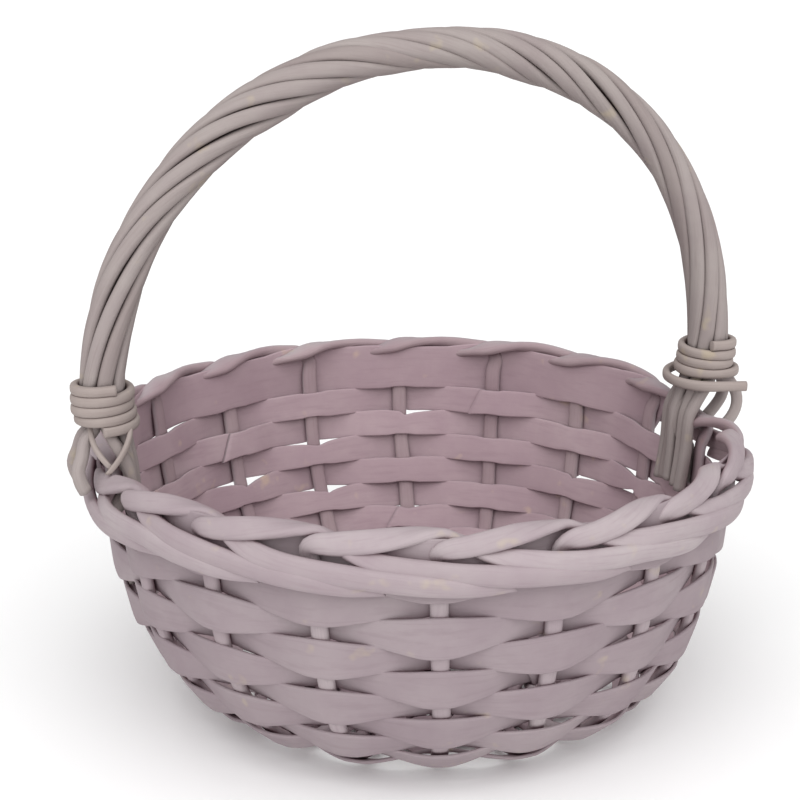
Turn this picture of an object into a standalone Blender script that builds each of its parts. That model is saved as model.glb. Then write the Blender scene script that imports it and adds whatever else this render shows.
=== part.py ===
"""A round willow basket with a hooped handle, painted all over.

Eighteen upright stakes are pushed in beside the spokes of a woven base, turn up into a bowl, and are bent down to
the right at the rim to make a border. Rows of split willow are woven between them: nine whole rings, and above them
two lengths that stop at the handle. A bow with seven rods twisted round it makes the handle, and a thin rod is wound
round each end. Metres, +Z up, handle along X, and the origin is on the floor under the middle of the base.
"""

import math

import bmesh
import bpy
import numpy as np

# Counts
STAKE_COUNT = 18
ROW_COUNT = 9
HANDLE_ROD_COUNT = 7
WIDE_SLATH_COUNT = 5
NARROW_SLATH_COUNT = 4
WEAVER_COUNT = 2

# The bowl, along the middle of its wall
BASE_RADIUS = 0.0745
BASE_LEVEL = 0.0052
BASE_DOME = 0.0020
TURN_RADIUS = 0.104
TURN_LEVEL = 0.010
BELLY_RADIUS = 0.1240
BELLY_LEVEL = 0.038
RIM_RADIUS = 0.1295
RIM_LEVEL = 0.112
RIM_DIP = 0.0080
RIM_PULL = 0.0018
RIM_PULL_SPREAD = math.radians(17)
BASE_DRIFT = 0.0050

# Willow
STAKE_DIAMETER = 0.0063
BUTT_DIAMETER = 0.0042
BUTT_START = 0.048
FIRST_STAKE_ANGLE = math.radians(-4.5)
STRIP_WIDTH = 0.0152
STRIP_WAIST = 0.0084
TOP_SQUEEZE_SHARE = 0.75
STRIP_THICKNESS = 0.0018
ROW_PITCH = 0.0116
TOP_ROW_DROP = 0.0215
JOINT_GAP = 0.0006
CLEARANCE = 0.0003

# The base
STICK_DIAMETER = 0.0042
STICK_END = 0.0725
SLATH_PITCH = 0.0047
SLATH_HALF = 0.0145
FAN_RADIUS = 0.027
SPOKE_LAG = 0.0056
WEAVER_DIAMETER = 0.0034
WEAVER_START = 0.034
WEAVER_END = 0.0705
WEAVER_TURNS = 3.5

# The handle
COLLAR_RISE = 0.019
SPRING_RISE = 0.008
RIGHT_LEAN = 0.0035
LEFT_SHOULDER_INSET = 0.0061
LEFT_SHOULDER_RISE = 0.1716
RIGHT_SHOULDER_OUTSET = 0.0023
RIGHT_SHOULDER_RISE = 0.1844
BOW_DIAMETER = 0.0066
BOW_FOOT_DIAMETER = 0.0050
BOW_TIP_DIAMETER = 0.0026
BOW_TIP_LEVEL = 0.062
BOW_TIP_SHARES = (0.5, 1.0)
ROD_DIAMETER = 0.0050
ROD_CIRCLE_RADIUS = 0.00635
TWIST_SEVENTHS = 17
TWIST_EASE_SHARE = 0.35
WRAP_DIAMETER = 0.0036
WRAP_GAP = 0.00045
WRAP_TURNS_LEFT = 4
WRAP_TURNS_RIGHT = 3
LOOSE_TURN_DROP = 0.0044
LOOSE_TURN_SWELL = 0.0038
LOOSE_TURN_SWELL_SHARE = 0.25
LOOSE_END_LENGTH = 0.012

# Steps along curved pieces
ARCH_STEPS = 34
POINTS_A_TURN = 24
WALL_STEPS = 6

# A turned-down stake, one row a point: stake spacings past its own stake, then outwards and up along the wall from
# the rim line in stake diameters, then its thickness.
BORDER_SHARES = (
    (0.00, 0.07, -0.79, 1.00),
    (0.04, 0.07, -0.13, 1.00),
    (0.18, 0.46, 0.32, 1.00),
    (0.45, 0.50, 0.88, 1.00),
    (0.70, 0.23, 1.26, 1.00),
    (0.95, -0.25, 1.30, 1.00),
    (1.20, -0.64, 0.96, 1.00),
    (1.45, -0.54, 0.36, 0.99),
    (1.70, 0.25, -0.20, 0.99),
    (1.95, 1.13, -0.60, 0.98),
    (2.30, 1.25, -1.00, 0.97),
    (2.65, 1.29, -1.43, 0.96),
    (3.00, 1.33, -1.86, 0.95),
    (3.20, 1.13, -2.13, 0.80),
    (3.38, 0.91, -2.29, 0.55),
)
# Where the two stakes that would end behind the bow stop, in the same spacings.
SHORT_BORDER_END = 3.10

# The bow below the collar, one row a level: up from the rim line, then outwards from the middle of the wall, both in
# rod diameters.
BOW_FOOT_SHARES = (
    (3.41, -0.39),
    (1.99, -1.11),
    (0.39, -1.95),
    (-1.57, -1.88),
    (-2.30, -1.16),
    (-2.96, -0.51),
    (-3.67, 0.04),
)
# The rods below the collar, by how far round the bow they start: up and outwards as above, then how far each stands
# to the side of the bow, in rod diameters.
LEFT_OUTER_FOOT_SHARES = (
    (2.75, 1.71, 0.80),
    (1.57, 2.20, 1.20),
    (0.53, 2.69, 1.45),
    (-0.39, 2.63, 1.60),
    (-1.18, 2.32, 1.60),
)
RIGHT_OUTER_FOOT_SHARES = (
    (2.75, 2.12, 0.80),
    (1.57, 3.06, 1.20),
    (0.53, 3.32, 1.45),
    (-0.39, 2.99, 1.60),
    (-1.18, 2.32, 1.60),
)
SIDE_FOOT_SHARES = (
    (2.88, -0.31, 1.72),
    (1.97, -1.06, 2.30),
    (1.05, -1.66, 2.70),
    (0.13, -1.89, 2.90),
    (-3.27, -1.87, 3.00),
    (-5.37, -2.12, 3.00),
)
INNER_FOOT_SHARES = (
    (2.88, -1.32, 1.08),
    (1.97, -1.61, 1.22),
    (1.05, -1.84, 1.34),
    (0.13, -1.94, 1.42),
    (-3.27, -1.92, 1.50),
    (-5.37, -2.20, 1.50),
)
MIDDLE_FOOT_SHARES = (
    (2.88, -2.02, 0.00),
    (1.97, -2.56, 0.00),
    (1.05, -3.03, 0.00),
    (0.13, -3.29, 0.00),
    (-1.70, -3.15, 0.00),
    (-3.41, -2.37, 0.00),
    (-5.37, -2.20, 0.00),
)
FOOT_SHARES = {
    "left": (LEFT_OUTER_FOOT_SHARES, SIDE_FOOT_SHARES, INNER_FOOT_SHARES, MIDDLE_FOOT_SHARES),
    "right": (RIGHT_OUTER_FOOT_SHARES, SIDE_FOOT_SHARES, INNER_FOOT_SHARES, MIDDLE_FOOT_SHARES),
}

COLLECTION_NAME = "knitting_basket"
STAKE_STEP = math.tau / STAKE_COUNT
TOP_ROW_LEVEL = RIM_LEVEL - TOP_ROW_DROP
COLLAR_LEVEL = RIM_LEVEL + COLLAR_RISE
SPRING_LEVEL = COLLAR_LEVEL + SPRING_RISE
LEFT_SPRING = (-RIM_RADIUS, SPRING_LEVEL)
LEFT_SHOULDER = (LEFT_SHOULDER_INSET - RIM_RADIUS, SPRING_LEVEL + LEFT_SHOULDER_RISE)
RIGHT_SPRING = (RIM_RADIUS + RIGHT_LEAN, SPRING_LEVEL)
RIGHT_SHOULDER = (RIGHT_SPRING[0] + RIGHT_SHOULDER_OUTSET, SPRING_LEVEL + RIGHT_SHOULDER_RISE)


def srgb(hex_code):
    """The linear colour of an sRGB hex code, with full alpha."""
    parts = [int(hex_code[i : i + 2], 16) / 255 for i in (0, 2, 4)]
    return (*[c / 12.92 if c <= 0.04045 else ((c + 0.055) / 1.055) ** 2.4 for c in parts], 1.0)


def painted_willow(name, hex_code, roughness):
    """A material for willow under matt paint."""
    material = bpy.data.materials.new(name)
    material.use_nodes = True
    shader = material.node_tree.nodes["Principled BSDF"]
    shader.inputs["Base Color"].default_value = srgb(hex_code)
    shader.inputs["Roughness"].default_value = roughness
    shader.inputs["Metallic"].default_value = 0.0
    material.diffuse_color = srgb(hex_code)
    return material


def wall_curve(share):
    """Radius and level of the wall's middle line, from 0 at the base's edge to 1 at the rim."""
    low = ((BASE_RADIUS, BASE_LEVEL), (TURN_RADIUS, TURN_LEVEL))
    high = ((BELLY_RADIUS, BELLY_LEVEL), (RIM_RADIUS, RIM_LEVEL))
    weights = ((1 - share) ** 3, 3 * share * (1 - share) ** 2, 3 * share**2 * (1 - share), share**3)
    return sum(w * np.array(h) for w, h in zip(weights, low + high))


WALL_SHARES = np.linspace(0, 1, 241)
WALL_LINE = np.array([wall_curve(share) for share in WALL_SHARES])
WALL_ARC = np.concatenate([[0.0], np.cumsum(np.linalg.norm(np.diff(WALL_LINE, axis=0), axis=1))])


def wall_at(arc):
    """The wall's middle at a distance along it from the base's edge, and the way out of the basket there."""
    point = np.array([np.interp(arc, WALL_ARC, WALL_LINE[:, i]) for i in (0, 1)])
    reach = STRIP_THICKNESS
    ahead = np.array([np.interp(arc + reach, WALL_ARC, WALL_LINE[:, i]) for i in (0, 1)])
    behind = np.array([np.interp(arc - reach, WALL_ARC, WALL_LINE[:, i]) for i in (0, 1)])
    along = (ahead - behind) / np.linalg.norm(ahead - behind)
    return point, np.array([along[1], -along[0]])


def wall_radius_at(level):
    return float(np.interp(level, WALL_LINE[:, 1], WALL_LINE[:, 0]))


def wall_arc_at(level):
    return float(np.interp(level, WALL_LINE[:, 1], WALL_ARC))


def pull_at(angle, level):
    """How much of the handle's pull on the rim the wall feels here: all of it beside the two ends of the handle."""
    turn = math.remainder(angle, math.pi)
    return math.exp(-((turn / RIM_PULL_SPREAD) ** 2)) * (min(max(level, 0.0) / RIM_LEVEL, 1.0)) ** 2


def drift_at(level):
    """How far the bowl has moved along +X from under the rim, all of it at the floor, as it was woven by eye."""
    return BASE_DRIFT * (1 - min(level, RIM_LEVEL) / RIM_LEVEL) ** 2


def place(radius, angle, level):
    """A point of the wall or border, drawn down and in beside the handle."""
    pull = pull_at(angle, level)
    drawn = radius - RIM_PULL * pull
    x = drawn * math.cos(angle) + drift_at(level)
    return np.array([x, drawn * math.sin(angle), level - RIM_DIP * pull])


def is_beside_bow(number):
    """Whether a stake stands next to one of the handle's two ends."""
    return number % (STAKE_COUNT // 2) == 0


def base_level(radius):
    return BASE_LEVEL + BASE_DOME * (1 - (min(radius, BASE_RADIUS) / BASE_RADIUS) ** 2)


def link(obj, material):
    obj.data.materials.append(material)
    bpy.data.collections[COLLECTION_NAME].objects.link(obj)
    return obj


def rod(name, points, diameters, material, smoothness=1):
    """A willow rod along the points, with its own diameter at each."""
    curve = bpy.data.curves.new(name, "CURVE")
    curve.dimensions = "3D"
    thickest = max(diameters)
    curve.bevel_depth = thickest / 2
    curve.bevel_resolution = smoothness
    curve.use_fill_caps = True
    spline = curve.splines.new("POLY")
    spline.points.add(len(points) - 1)
    for knot, point, diameter in zip(spline.points, points, diameters):
        knot.co = (*point, 1.0)
        knot.radius = diameter / thickest
    spline.use_smooth = True
    return link(bpy.data.objects.new(name, curve), material)


def stake_points(number):
    """A stake's path and diameters: butt in the base, up the wall, then down into the border."""
    angle = FIRST_STAKE_ANGLE + number * STAKE_STEP
    points = []
    diameters = []
    for radius in (BUTT_START, (BUTT_START + BASE_RADIUS) / 2):
        points.append(place(radius, angle, base_level(radius)))
        diameters.append(BUTT_DIAMETER)
    for step in range(WALL_STEPS + 1):
        share = step / (WALL_STEPS + 0.5)
        radius, level = wall_curve(share)
        points.append(place(radius, angle, level))
        diameters.append(BUTT_DIAMETER + (STAKE_DIAMETER - BUTT_DIAMETER) * min(1.0, 2 * WALL_STEPS * share))
    table = np.array(BORDER_SHARES)
    places = table[:, 0]
    rim, outwards = wall_at(WALL_ARC[-1])
    along = np.array([-outwards[1], outwards[0]])
    if is_beside_bow(number + int(SHORT_BORDER_END)):
        places = np.append(places[places < SHORT_BORDER_END], SHORT_BORDER_END)
    for spacings in places:
        out_share, up_share, thickness_share = (np.interp(spacings, table[:, 0], table[:, i]) for i in (1, 2, 3))
        radius, level = rim + STAKE_DIAMETER * (out_share * outwards + up_share * along)
        points.append(place(radius, angle + spacings * STAKE_STEP, level))
        diameters.append(thickness_share * STAKE_DIAMETER)
    return points, diameters


def make_stakes(material):
    for number in range(STAKE_COUNT):
        rod(f"stake_{number + 1:02d}", *stake_points(number), material)


def row_supports(row, arc):
    """What a row bends round, in order: the angles where each upright starts and ends."""
    (radius, level), _ = wall_at(arc)
    half = (STAKE_DIAMETER / 2 + CLEARANCE) / radius
    supports = []
    for number in range(STAKE_COUNT):
        angle = FIRST_STAKE_ANGLE + number * STAKE_STEP
        end = angle + half
        if row >= 0 and is_beside_bow(number) and level > BOW_TIP_LEVEL - STRIP_WIDTH / 2:
            end = angle - FIRST_STAKE_ANGLE + half
        outside = (number + row) % 2 == 0
        supports.append((angle - half, end, 1 if outside else -1))
    return supports


def strip_section(arc, angle, side, squeeze):
    """Four corners of a strip where it is side of the way out of the wall, from -1 inside to 1 outside."""
    width = STRIP_WAIST + (STRIP_WIDTH - STRIP_WAIST) * abs(side)
    centre, outwards = wall_at(arc)
    top, _ = wall_at(arc + width / 2 * (1 - squeeze * max(side, 0)))
    bottom, _ = wall_at(arc - width / 2)
    crown = float(np.dot(centre - (top + bottom) / 2, outwards))
    middle = side * (STAKE_DIAMETER / 2 + CLEARANCE + STRIP_THICKNESS / 2) + crown * max(side, 0)
    corners = []
    for edge, layer in ((top, 1), (top, -1), (bottom, -1), (bottom, 1)):
        radius, level = edge + outwards * (middle + layer * STRIP_THICKNESS / 2)
        corners.append(place(radius, angle, level))
    return corners


def stations_past(supports, first, count):
    """The angles and sides that a strip passes from the end of one support to the start of the count-th next."""
    stations = []
    for number in range(first, first + count):
        end, _, side = turned(supports, number, 1)
        start, _, next_side = turned(supports, number + 1, 0)
        stations += [(end, side), ((end + start) / 2, 0), (start, next_side)]
    return stations


def turned(supports, number, which):
    """One end of a support, its other end and its side, with whole turns added when number is past the last."""
    support = supports[number % STAKE_COUNT]
    lap = math.tau * (number // STAKE_COUNT)
    return support[which] + lap, support[1 - which] + lap, support[2]


def ring_stations(row, arc):
    """The angles and sides of a whole ring, whose two ends meet behind a stake on the inside."""
    supports = row_supports(row, arc)
    inner = [number for number, support in enumerate(supports) if support[2] < 0]
    first = inner[(2 * row + 1) * len(inner) // ROW_COUNT % len(inner)]
    (radius, _), _ = wall_at(arc)
    joint = (supports[first][0] + supports[first][1]) / 2
    half_gap = JOINT_GAP / 2 / radius
    between = stations_past(supports, first, STAKE_COUNT)
    return [(joint + half_gap, -1)] + between + [(joint - half_gap + math.tau, -1)]


def length_stations(row, arc, first, last):
    """The angles and sides of a strip that runs from one stake to another."""
    supports = row_supports(row, arc)
    start, _, side = turned(supports, first, 0)
    end, _, last_side = turned(supports, last, 1)
    return [(start, side)] + stations_past(supports, first, last - first) + [(end, last_side)]


def strip(name, arc, stations, material, squeeze=0.0):
    shape = bmesh.new()
    rings = []
    for angle, side in stations:
        rings.append([shape.verts.new(corner) for corner in strip_section(arc, angle, side, squeeze)])
    for near, far in zip(rings, rings[1:]):
        for i in range(len(near)):
            j = (i + 1) % len(near)
            shape.faces.new((near[i], near[j], far[j], far[i]))
    shape.faces.new(rings[0])
    shape.faces.new(rings[-1])
    bmesh.ops.recalc_face_normals(shape, faces=shape.faces)
    mesh = bpy.data.meshes.new(name)
    shape.to_mesh(mesh)
    shape.free()
    return link(bpy.data.objects.new(name, mesh), material)


def make_strips(material):
    """Nine flat rings round the wall, and above them the two lengths that stop at the handle."""
    top_arc = wall_arc_at(TOP_ROW_LEVEL)
    for row in range(ROW_COUNT):
        arc = top_arc - row * ROW_PITCH
        strip(f"wall_strip_{row + 1}", arc, ring_stations(row, arc), material)
    arc = top_arc + ROW_PITCH
    for name, first, last in (("top_strip_back", 1, 9), ("top_strip_front", 10, 17)):
        strip(name, arc, length_stations(-1, arc, first, last), material, TOP_SQUEEZE_SHARE)


def spoke_angle(index):
    """The direction of a base spoke, just behind its stake."""
    return FIRST_STAKE_ANGLE + index * STAKE_STEP - SPOKE_LAG / BUTT_START


def stick_points(across, direction, lift):
    """Half of a base stick: from the slath's middle, along it, then fanned out to a spoke's direction."""
    heading = spoke_angle(0) + STAKE_STEP / 2 + direction
    group = round(direction / (math.pi / 2)) * math.pi / 2 + spoke_angle(0) + STAKE_STEP / 2
    ahead = np.array([math.cos(group), math.sin(group)])
    aside = np.array([-math.sin(group), math.cos(group)])
    points = []
    for along in (0.0, SLATH_HALF):
        x, y = ahead * along + aside * across
        points.append((x + BASE_DRIFT, y, base_level(along) + lift))
    for radius in (FAN_RADIUS, (FAN_RADIUS + STICK_END) / 2, STICK_END):
        points.append((radius * math.cos(heading) + BASE_DRIFT, radius * math.sin(heading), base_level(radius)))
    return points


def make_base_sticks(material):
    """Five sticks one way under four the other way, each fanned out to a spoke at both ends."""
    layers = ((WIDE_SLATH_COUNT, math.pi / 2, -1), (NARROW_SLATH_COUNT, 0.0, 1))
    number = 0
    for count, heading, layer in layers:
        lift = layer * (STICK_DIAMETER + CLEARANCE) / 2
        for index in range(count):
            number += 1
            place_in_row = index - (count - 1) / 2
            across = -place_in_row * SLATH_PITCH
            one = stick_points(-across, heading + place_in_row * STAKE_STEP, lift)
            other = stick_points(across, heading + math.pi - place_in_row * STAKE_STEP, lift)
            points = other[:0:-1] + one[1:]
            rod(f"base_stick_{number}", points, [STICK_DIAMETER] * len(points), material)


def weaver_points(number):
    """A base weaver's spiral, over and under the spokes by turns, and the stake butt beside each."""
    sway = STICK_DIAMETER / 2 + CLEARANCE + WEAVER_DIAMETER / 2
    points = []
    spokes = round(WEAVER_TURNS * STAKE_COUNT)
    for count in range(spokes + 1):
        share = count / spokes
        radius = WEAVER_START + (WEAVER_END - WEAVER_START) * share
        radius += (number - 0.5) * (WEAVER_END - WEAVER_START) / WEAVER_TURNS / 2
        side = 1 if (count + number) % 2 else -1
        behind = spoke_angle(count) - STICK_DIAMETER / 2 / radius
        ahead = spoke_angle(count) + STICK_DIAMETER / 2 / radius
        if radius > BUTT_START - STICK_DIAMETER:
            ahead = FIRST_STAKE_ANGLE + count * STAKE_STEP + BUTT_DIAMETER / 2 / radius
        for angle in (behind, ahead):
            level = base_level(radius) + side * sway
            points.append((radius * math.cos(angle) + BASE_DRIFT, radius * math.sin(angle), level))
    return points


def cut_flat(obj):
    """The object as a mesh, worn flat where it would reach below the floor."""
    graph = bpy.context.evaluated_depsgraph_get()
    mesh = bpy.data.meshes.new_from_object(obj.evaluated_get(graph))
    shape = bmesh.new()
    shape.from_mesh(mesh)
    bmesh.ops.remove_doubles(shape, verts=shape.verts, dist=CLEARANCE / 100)
    everything = list(shape.verts) + list(shape.edges) + list(shape.faces)
    cut = bmesh.ops.bisect_plane(shape, geom=everything, plane_co=(0, 0, 0), plane_no=(0, 0, -1), clear_outer=True)
    edges = [piece for piece in cut["geom_cut"] if isinstance(piece, bmesh.types.BMEdge)]
    bmesh.ops.holes_fill(shape, edges=edges)
    bmesh.ops.recalc_face_normals(shape, faces=shape.faces)
    shape.to_mesh(mesh)
    shape.free()
    name = obj.name
    material = obj.data.materials[0]
    bpy.data.objects.remove(obj)
    flat = bpy.data.objects.new(name, mesh)
    mesh.materials.clear()
    return link(flat, material)


def make_base_weavers(material):
    for number in range(WEAVER_COUNT):
        points = weaver_points(number)
        weaver = rod(f"base_weaver_{number + 1}", points, [WEAVER_DIAMETER] * len(points), material, smoothness=0)
        bpy.context.view_layer.update()
        cut_flat(weaver)


def arch_frame(share):
    """The handle's middle line at a share of the way from its left spring to its right one, and the way out there."""
    springs = [np.array(corner) for corner in (LEFT_SPRING, LEFT_SHOULDER, RIGHT_SHOULDER, RIGHT_SPRING)]
    rest = 1 - share
    weights = (rest**3, 3 * share * rest**2, 3 * share**2 * rest, share**3)
    x, z = sum(w * spring for w, spring in zip(weights, springs))
    weights = (rest**2, 2 * share * rest, share**2)
    along = sum(w * (far - near) for w, near, far in zip(weights, springs, springs[1:]))
    along /= np.linalg.norm(along)
    return np.array([x, 0.0, z]), np.array([-along[1], 0.0, along[0]])


def end_sign(side):
    """Which way out is along X at an end of the handle."""
    return -1.0 if side == "left" else 1.0


def spring_of(side):
    return LEFT_SPRING if side == "left" else RIGHT_SPRING


def foot_point(side, up_share, out_share, aside):
    """A point below the collar's foot. It leans out with the handle's end, and less the lower it is."""
    lean = abs(spring_of(side)[0]) - RIM_RADIUS
    level = RIM_LEVEL + up_share * ROD_DIAMETER
    above = max(0.0, level - RIM_LEVEL) / (COLLAR_LEVEL - RIM_LEVEL)
    radius = wall_radius_at(level) + out_share * ROD_DIAMETER
    radius += lean * above - RIM_PULL * pull_at(0.0, level) * (1 - above)
    angle = aside / radius
    x = end_sign(side) * radius * math.cos(angle) + drift_at(level)
    return np.array([x, -radius * math.sin(angle), level])


def bow_foot(side):
    """The bow below the spring: inside the border, then in among the strips beside a stake."""
    points = []
    diameters = []
    for up_share, out_share in BOW_FOOT_SHARES:
        points.append(foot_point(side, up_share, out_share, 0.0))
        diameters.append(BOW_DIAMETER)
    diameters[-1] = BOW_FOOT_DIAMETER
    entry = points[-1][2]
    for share in BOW_TIP_SHARES:
        level = entry + (BOW_TIP_LEVEL - entry) * share
        pull = pull_at(0.0, level)
        radius = wall_radius_at(level + RIM_DIP * pull) - RIM_PULL * pull
        points.append(np.array([end_sign(side) * radius + drift_at(level), 0.0, level]))
        diameters.append(BOW_FOOT_DIAMETER + (BOW_TIP_DIAMETER - BOW_FOOT_DIAMETER) * share)
    return points, diameters


def make_bow(material):
    left, left_diameters = bow_foot("left")
    right, right_diameters = bow_foot("right")
    arch = [arch_frame(step / ARCH_STEPS)[0] for step in range(0, ARCH_STEPS + 1, 2)]
    points = left[::-1] + arch + right
    diameters = left_diameters[::-1] + [BOW_DIAMETER] * len(arch) + right_diameters
    rod("handle_bow", points, diameters, material)


def rod_turn(number, share):
    """How far round the bow a handle rod is, from the bow's outer side towards the front."""
    slot = (number + 0.5) * math.tau / HANDLE_ROD_COUNT
    eased = share - TWIST_EASE_SHARE * math.sin(math.tau * share) / math.tau
    return slot + eased * TWIST_SEVENTHS * math.tau / HANDLE_ROD_COUNT


def foot_slot(number, side):
    """Which of the seven places round the bow a rod has at this end of the handle."""
    moved = 0 if side == "left" else TWIST_SEVENTHS
    return (number + moved) % HANDLE_ROD_COUNT


def rod_foot(number, side):
    """A handle rod below the collar, spread out from the others: on to the border or down its inside."""
    slot = foot_slot(number, side)
    opposite = HANDLE_ROD_COUNT - 1 - slot
    points = []
    for up_share, out_share, aside_share in FOOT_SHARES[side][min(slot, opposite)]:
        aside = math.copysign(aside_share * ROD_DIAMETER, opposite - slot)
        points.append(foot_point(side, up_share, out_share, aside))
    return points


def collar_point(side, turn, reach, level):
    """A point round the bow between the spring and the collar's foot."""
    spring, spring_level = spring_of(side)
    top_share = (COLLAR_LEVEL - RIM_LEVEL) / ROD_DIAMETER
    foot = foot_point(side, top_share, BOW_FOOT_SHARES[0][1], 0.0)[0]
    share = min(1.0, max(0.0, (spring_level - level) / (spring_level - COLLAR_LEVEL)))
    centre = spring + (foot - spring) * share
    return np.array([centre + end_sign(side) * reach * math.cos(turn), -reach * math.sin(turn), level])


def make_handle_rods(material):
    towards_front = np.array([0.0, -1.0, 0.0])
    for number in range(HANDLE_ROD_COUNT):
        points = rod_foot(number, "left")[::-1]
        points.append(collar_point("left", rod_turn(number, 0.0), ROD_CIRCLE_RADIUS, COLLAR_LEVEL))
        for step in range(ARCH_STEPS + 1):
            share = step / ARCH_STEPS
            centre, outwards = arch_frame(share)
            around = rod_turn(number, share)
            way = math.cos(around) * outwards + math.sin(around) * towards_front
            points.append(centre + ROD_CIRCLE_RADIUS * way)
        points.append(collar_point("right", rod_turn(number, 1.0), ROD_CIRCLE_RADIUS, COLLAR_LEVEL))
        points += rod_foot(number, "right")
        rod(f"handle_rod_{number + 1}", points, [ROD_DIAMETER] * len(points), material)


def winding_centre(side, level):
    """The middle of the handle at this level, on the arch or between the spring and the collar's foot."""
    spring_level = LEFT_SPRING[1]
    if level <= spring_level:
        return collar_point(side, 0.0, 0.0, level)
    height = (level - spring_level) / (LEFT_SHOULDER[1] - spring_level)
    share = (1 - math.sqrt(1 - 4 * height / 3)) / 2
    return arch_frame(share if side == "left" else 1 - share)[0]


def winding_points(side, turns, loose):
    """A thin rod wound down the end of the handle, with a wider turn below the tight ones where it works loose."""
    reach = ROD_CIRCLE_RADIUS + ROD_DIAMETER / 2 + WRAP_DIAMETER / 2 + CLEARANCE
    pitch = WRAP_DIAMETER + WRAP_GAP
    top = COLLAR_LEVEL + turns * pitch
    total = turns + (1 if loose else 0)
    points = []
    for step in range(total * POINTS_A_TURN + 1):
        turned = step / POINTS_A_TURN
        slack = max(0.0, turned - turns)
        level = top - pitch * (turned - slack) - LOOSE_TURN_DROP * slack
        wide = reach + LOOSE_TURN_SWELL * min(1.0, slack / LOOSE_TURN_SWELL_SHARE)
        around = math.pi / 2 - turned * math.tau
        centre = winding_centre(side, level)
        points.append(centre + wide * np.array([end_sign(side) * math.cos(around), -math.sin(around), 0.0]))
    first_way = (points[0] - points[1]) / np.linalg.norm(points[0] - points[1])
    last_way = (points[-1] - points[-2]) / np.linalg.norm(points[-1] - points[-2])
    tail = LOOSE_END_LENGTH if loose else WRAP_DIAMETER
    return [points[0] + first_way * WRAP_DIAMETER] + points + [points[-1] + last_way * tail]


def least_gap(points, diameter):
    """The narrowest space between a winding's own turns, measured on its points."""
    line = np.array(points)
    apart = np.linalg.norm(line[:, None] - line[None], axis=2)
    steps = np.abs(np.subtract.outer(np.arange(len(line)), np.arange(len(line))))
    return float(apart[steps > POINTS_A_TURN // 2].min() - diameter)


def make_bindings(material):
    for side, turns, loose in (("left", WRAP_TURNS_LEFT, False), ("right", WRAP_TURNS_RIGHT, True)):
        points = winding_points(side, turns, loose)
        gap = least_gap(points, WRAP_DIAMETER)
        print(f"collar_binding_{side}: least gap between its turns {1000 * gap:.2f} mm")
        rod(f"collar_binding_{side}", points, [WRAP_DIAMETER] * len(points), material)


def main():
    for obj in list(bpy.data.objects):
        bpy.data.objects.remove(obj)
    bpy.context.scene.unit_settings.system = "METRIC"
    collection = bpy.data.collections.new(COLLECTION_NAME)
    bpy.context.scene.collection.children.link(collection)
    make_stakes(painted_willow("painted_willow_stakes", "AB9FA3", 0.72))
    make_strips(painted_willow("painted_split_willow", "B0A4A8", 0.70))
    make_base_sticks(painted_willow("painted_base_sticks", "9C8F95", 0.75))
    make_base_weavers(painted_willow("painted_base_weavers", "A0939A", 0.75))
    make_bow(painted_willow("painted_bow", "A3979A", 0.72))
    make_handle_rods(painted_willow("painted_handle_rods", "B1A6A7", 0.70))
    make_bindings(painted_willow("painted_bindings", "B3A8A6", 0.70))


main()
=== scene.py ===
"""The look of a knitting basket: a woven willow bowl, a bent-down border and a twisted hoop handle, painted mauve.

Lengths are in metres, +Z is up, the handle runs along X, and the origin is on the floor under the middle of the
rim, as in the frame. Each piece stands in place of one solid, but for the two thin tails under the left winding,
which have none.
"""

import logging
import math
from collections.abc import Sequence
from dataclasses import dataclass, field
from enum import Enum, IntEnum
from functools import cached_property, partial
from typing import Any

import bmesh
import bpy
import numpy as np
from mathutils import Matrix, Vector


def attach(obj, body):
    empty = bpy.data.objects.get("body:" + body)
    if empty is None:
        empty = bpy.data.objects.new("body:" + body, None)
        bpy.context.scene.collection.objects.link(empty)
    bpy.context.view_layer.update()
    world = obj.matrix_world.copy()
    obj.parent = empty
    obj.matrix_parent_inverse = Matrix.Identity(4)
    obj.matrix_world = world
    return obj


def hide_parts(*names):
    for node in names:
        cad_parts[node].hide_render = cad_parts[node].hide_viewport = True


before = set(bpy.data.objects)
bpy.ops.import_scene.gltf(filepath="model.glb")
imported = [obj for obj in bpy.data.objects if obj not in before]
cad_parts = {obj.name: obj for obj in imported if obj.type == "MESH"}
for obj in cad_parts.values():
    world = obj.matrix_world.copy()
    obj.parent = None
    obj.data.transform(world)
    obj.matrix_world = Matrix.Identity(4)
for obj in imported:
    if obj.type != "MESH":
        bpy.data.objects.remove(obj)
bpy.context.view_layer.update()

logger = logging.getLogger("knitting_basket")

MILLIMETRE = 0.001

# The distance between a piece's points: where it bends tightly, as a rule, and where it bends gently
FINE_STEP = 1.2 * MILLIMETRE
STEP = 1.8 * MILLIMETRE
COARSE_STEP = 2.2 * MILLIMETRE
FEWEST_STEPS = 4

UP = np.array([0.0, 0.0, 1.0])
BACK = np.array([0.0, 1.0, 0.0])

# A cut end: over how many widths its slant fades out, and how many times the dome's height the piece is deep
SLANT_WIDTHS = 1.2
DOME_HEIGHTS = 10


class End(Enum):
    """An end of the handle, with the way out along X."""

    LEFT = -1.0
    RIGHT = 1.0

    @property
    def side(self) -> str:
        """The end's name in the names of pieces."""
        return self.name.lower()


class Seed(IntEnum):
    """Where the seeds of each kind of unevenness start. A piece's own number is added."""

    STAKE_SIDEWAYS = 0
    STAKE_RISE = 100
    STAKE_SWELLING = 200
    ROW_CLIMB = 300
    ROW_WIDTH = 400
    BASE_STICK = 500
    BASE_WEAVER = 520
    ROD_DRIFT = 600
    ROD_LIFT = 610
    ROD_SWELLING = 620
    BINDING_SWELLING = 640


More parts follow.
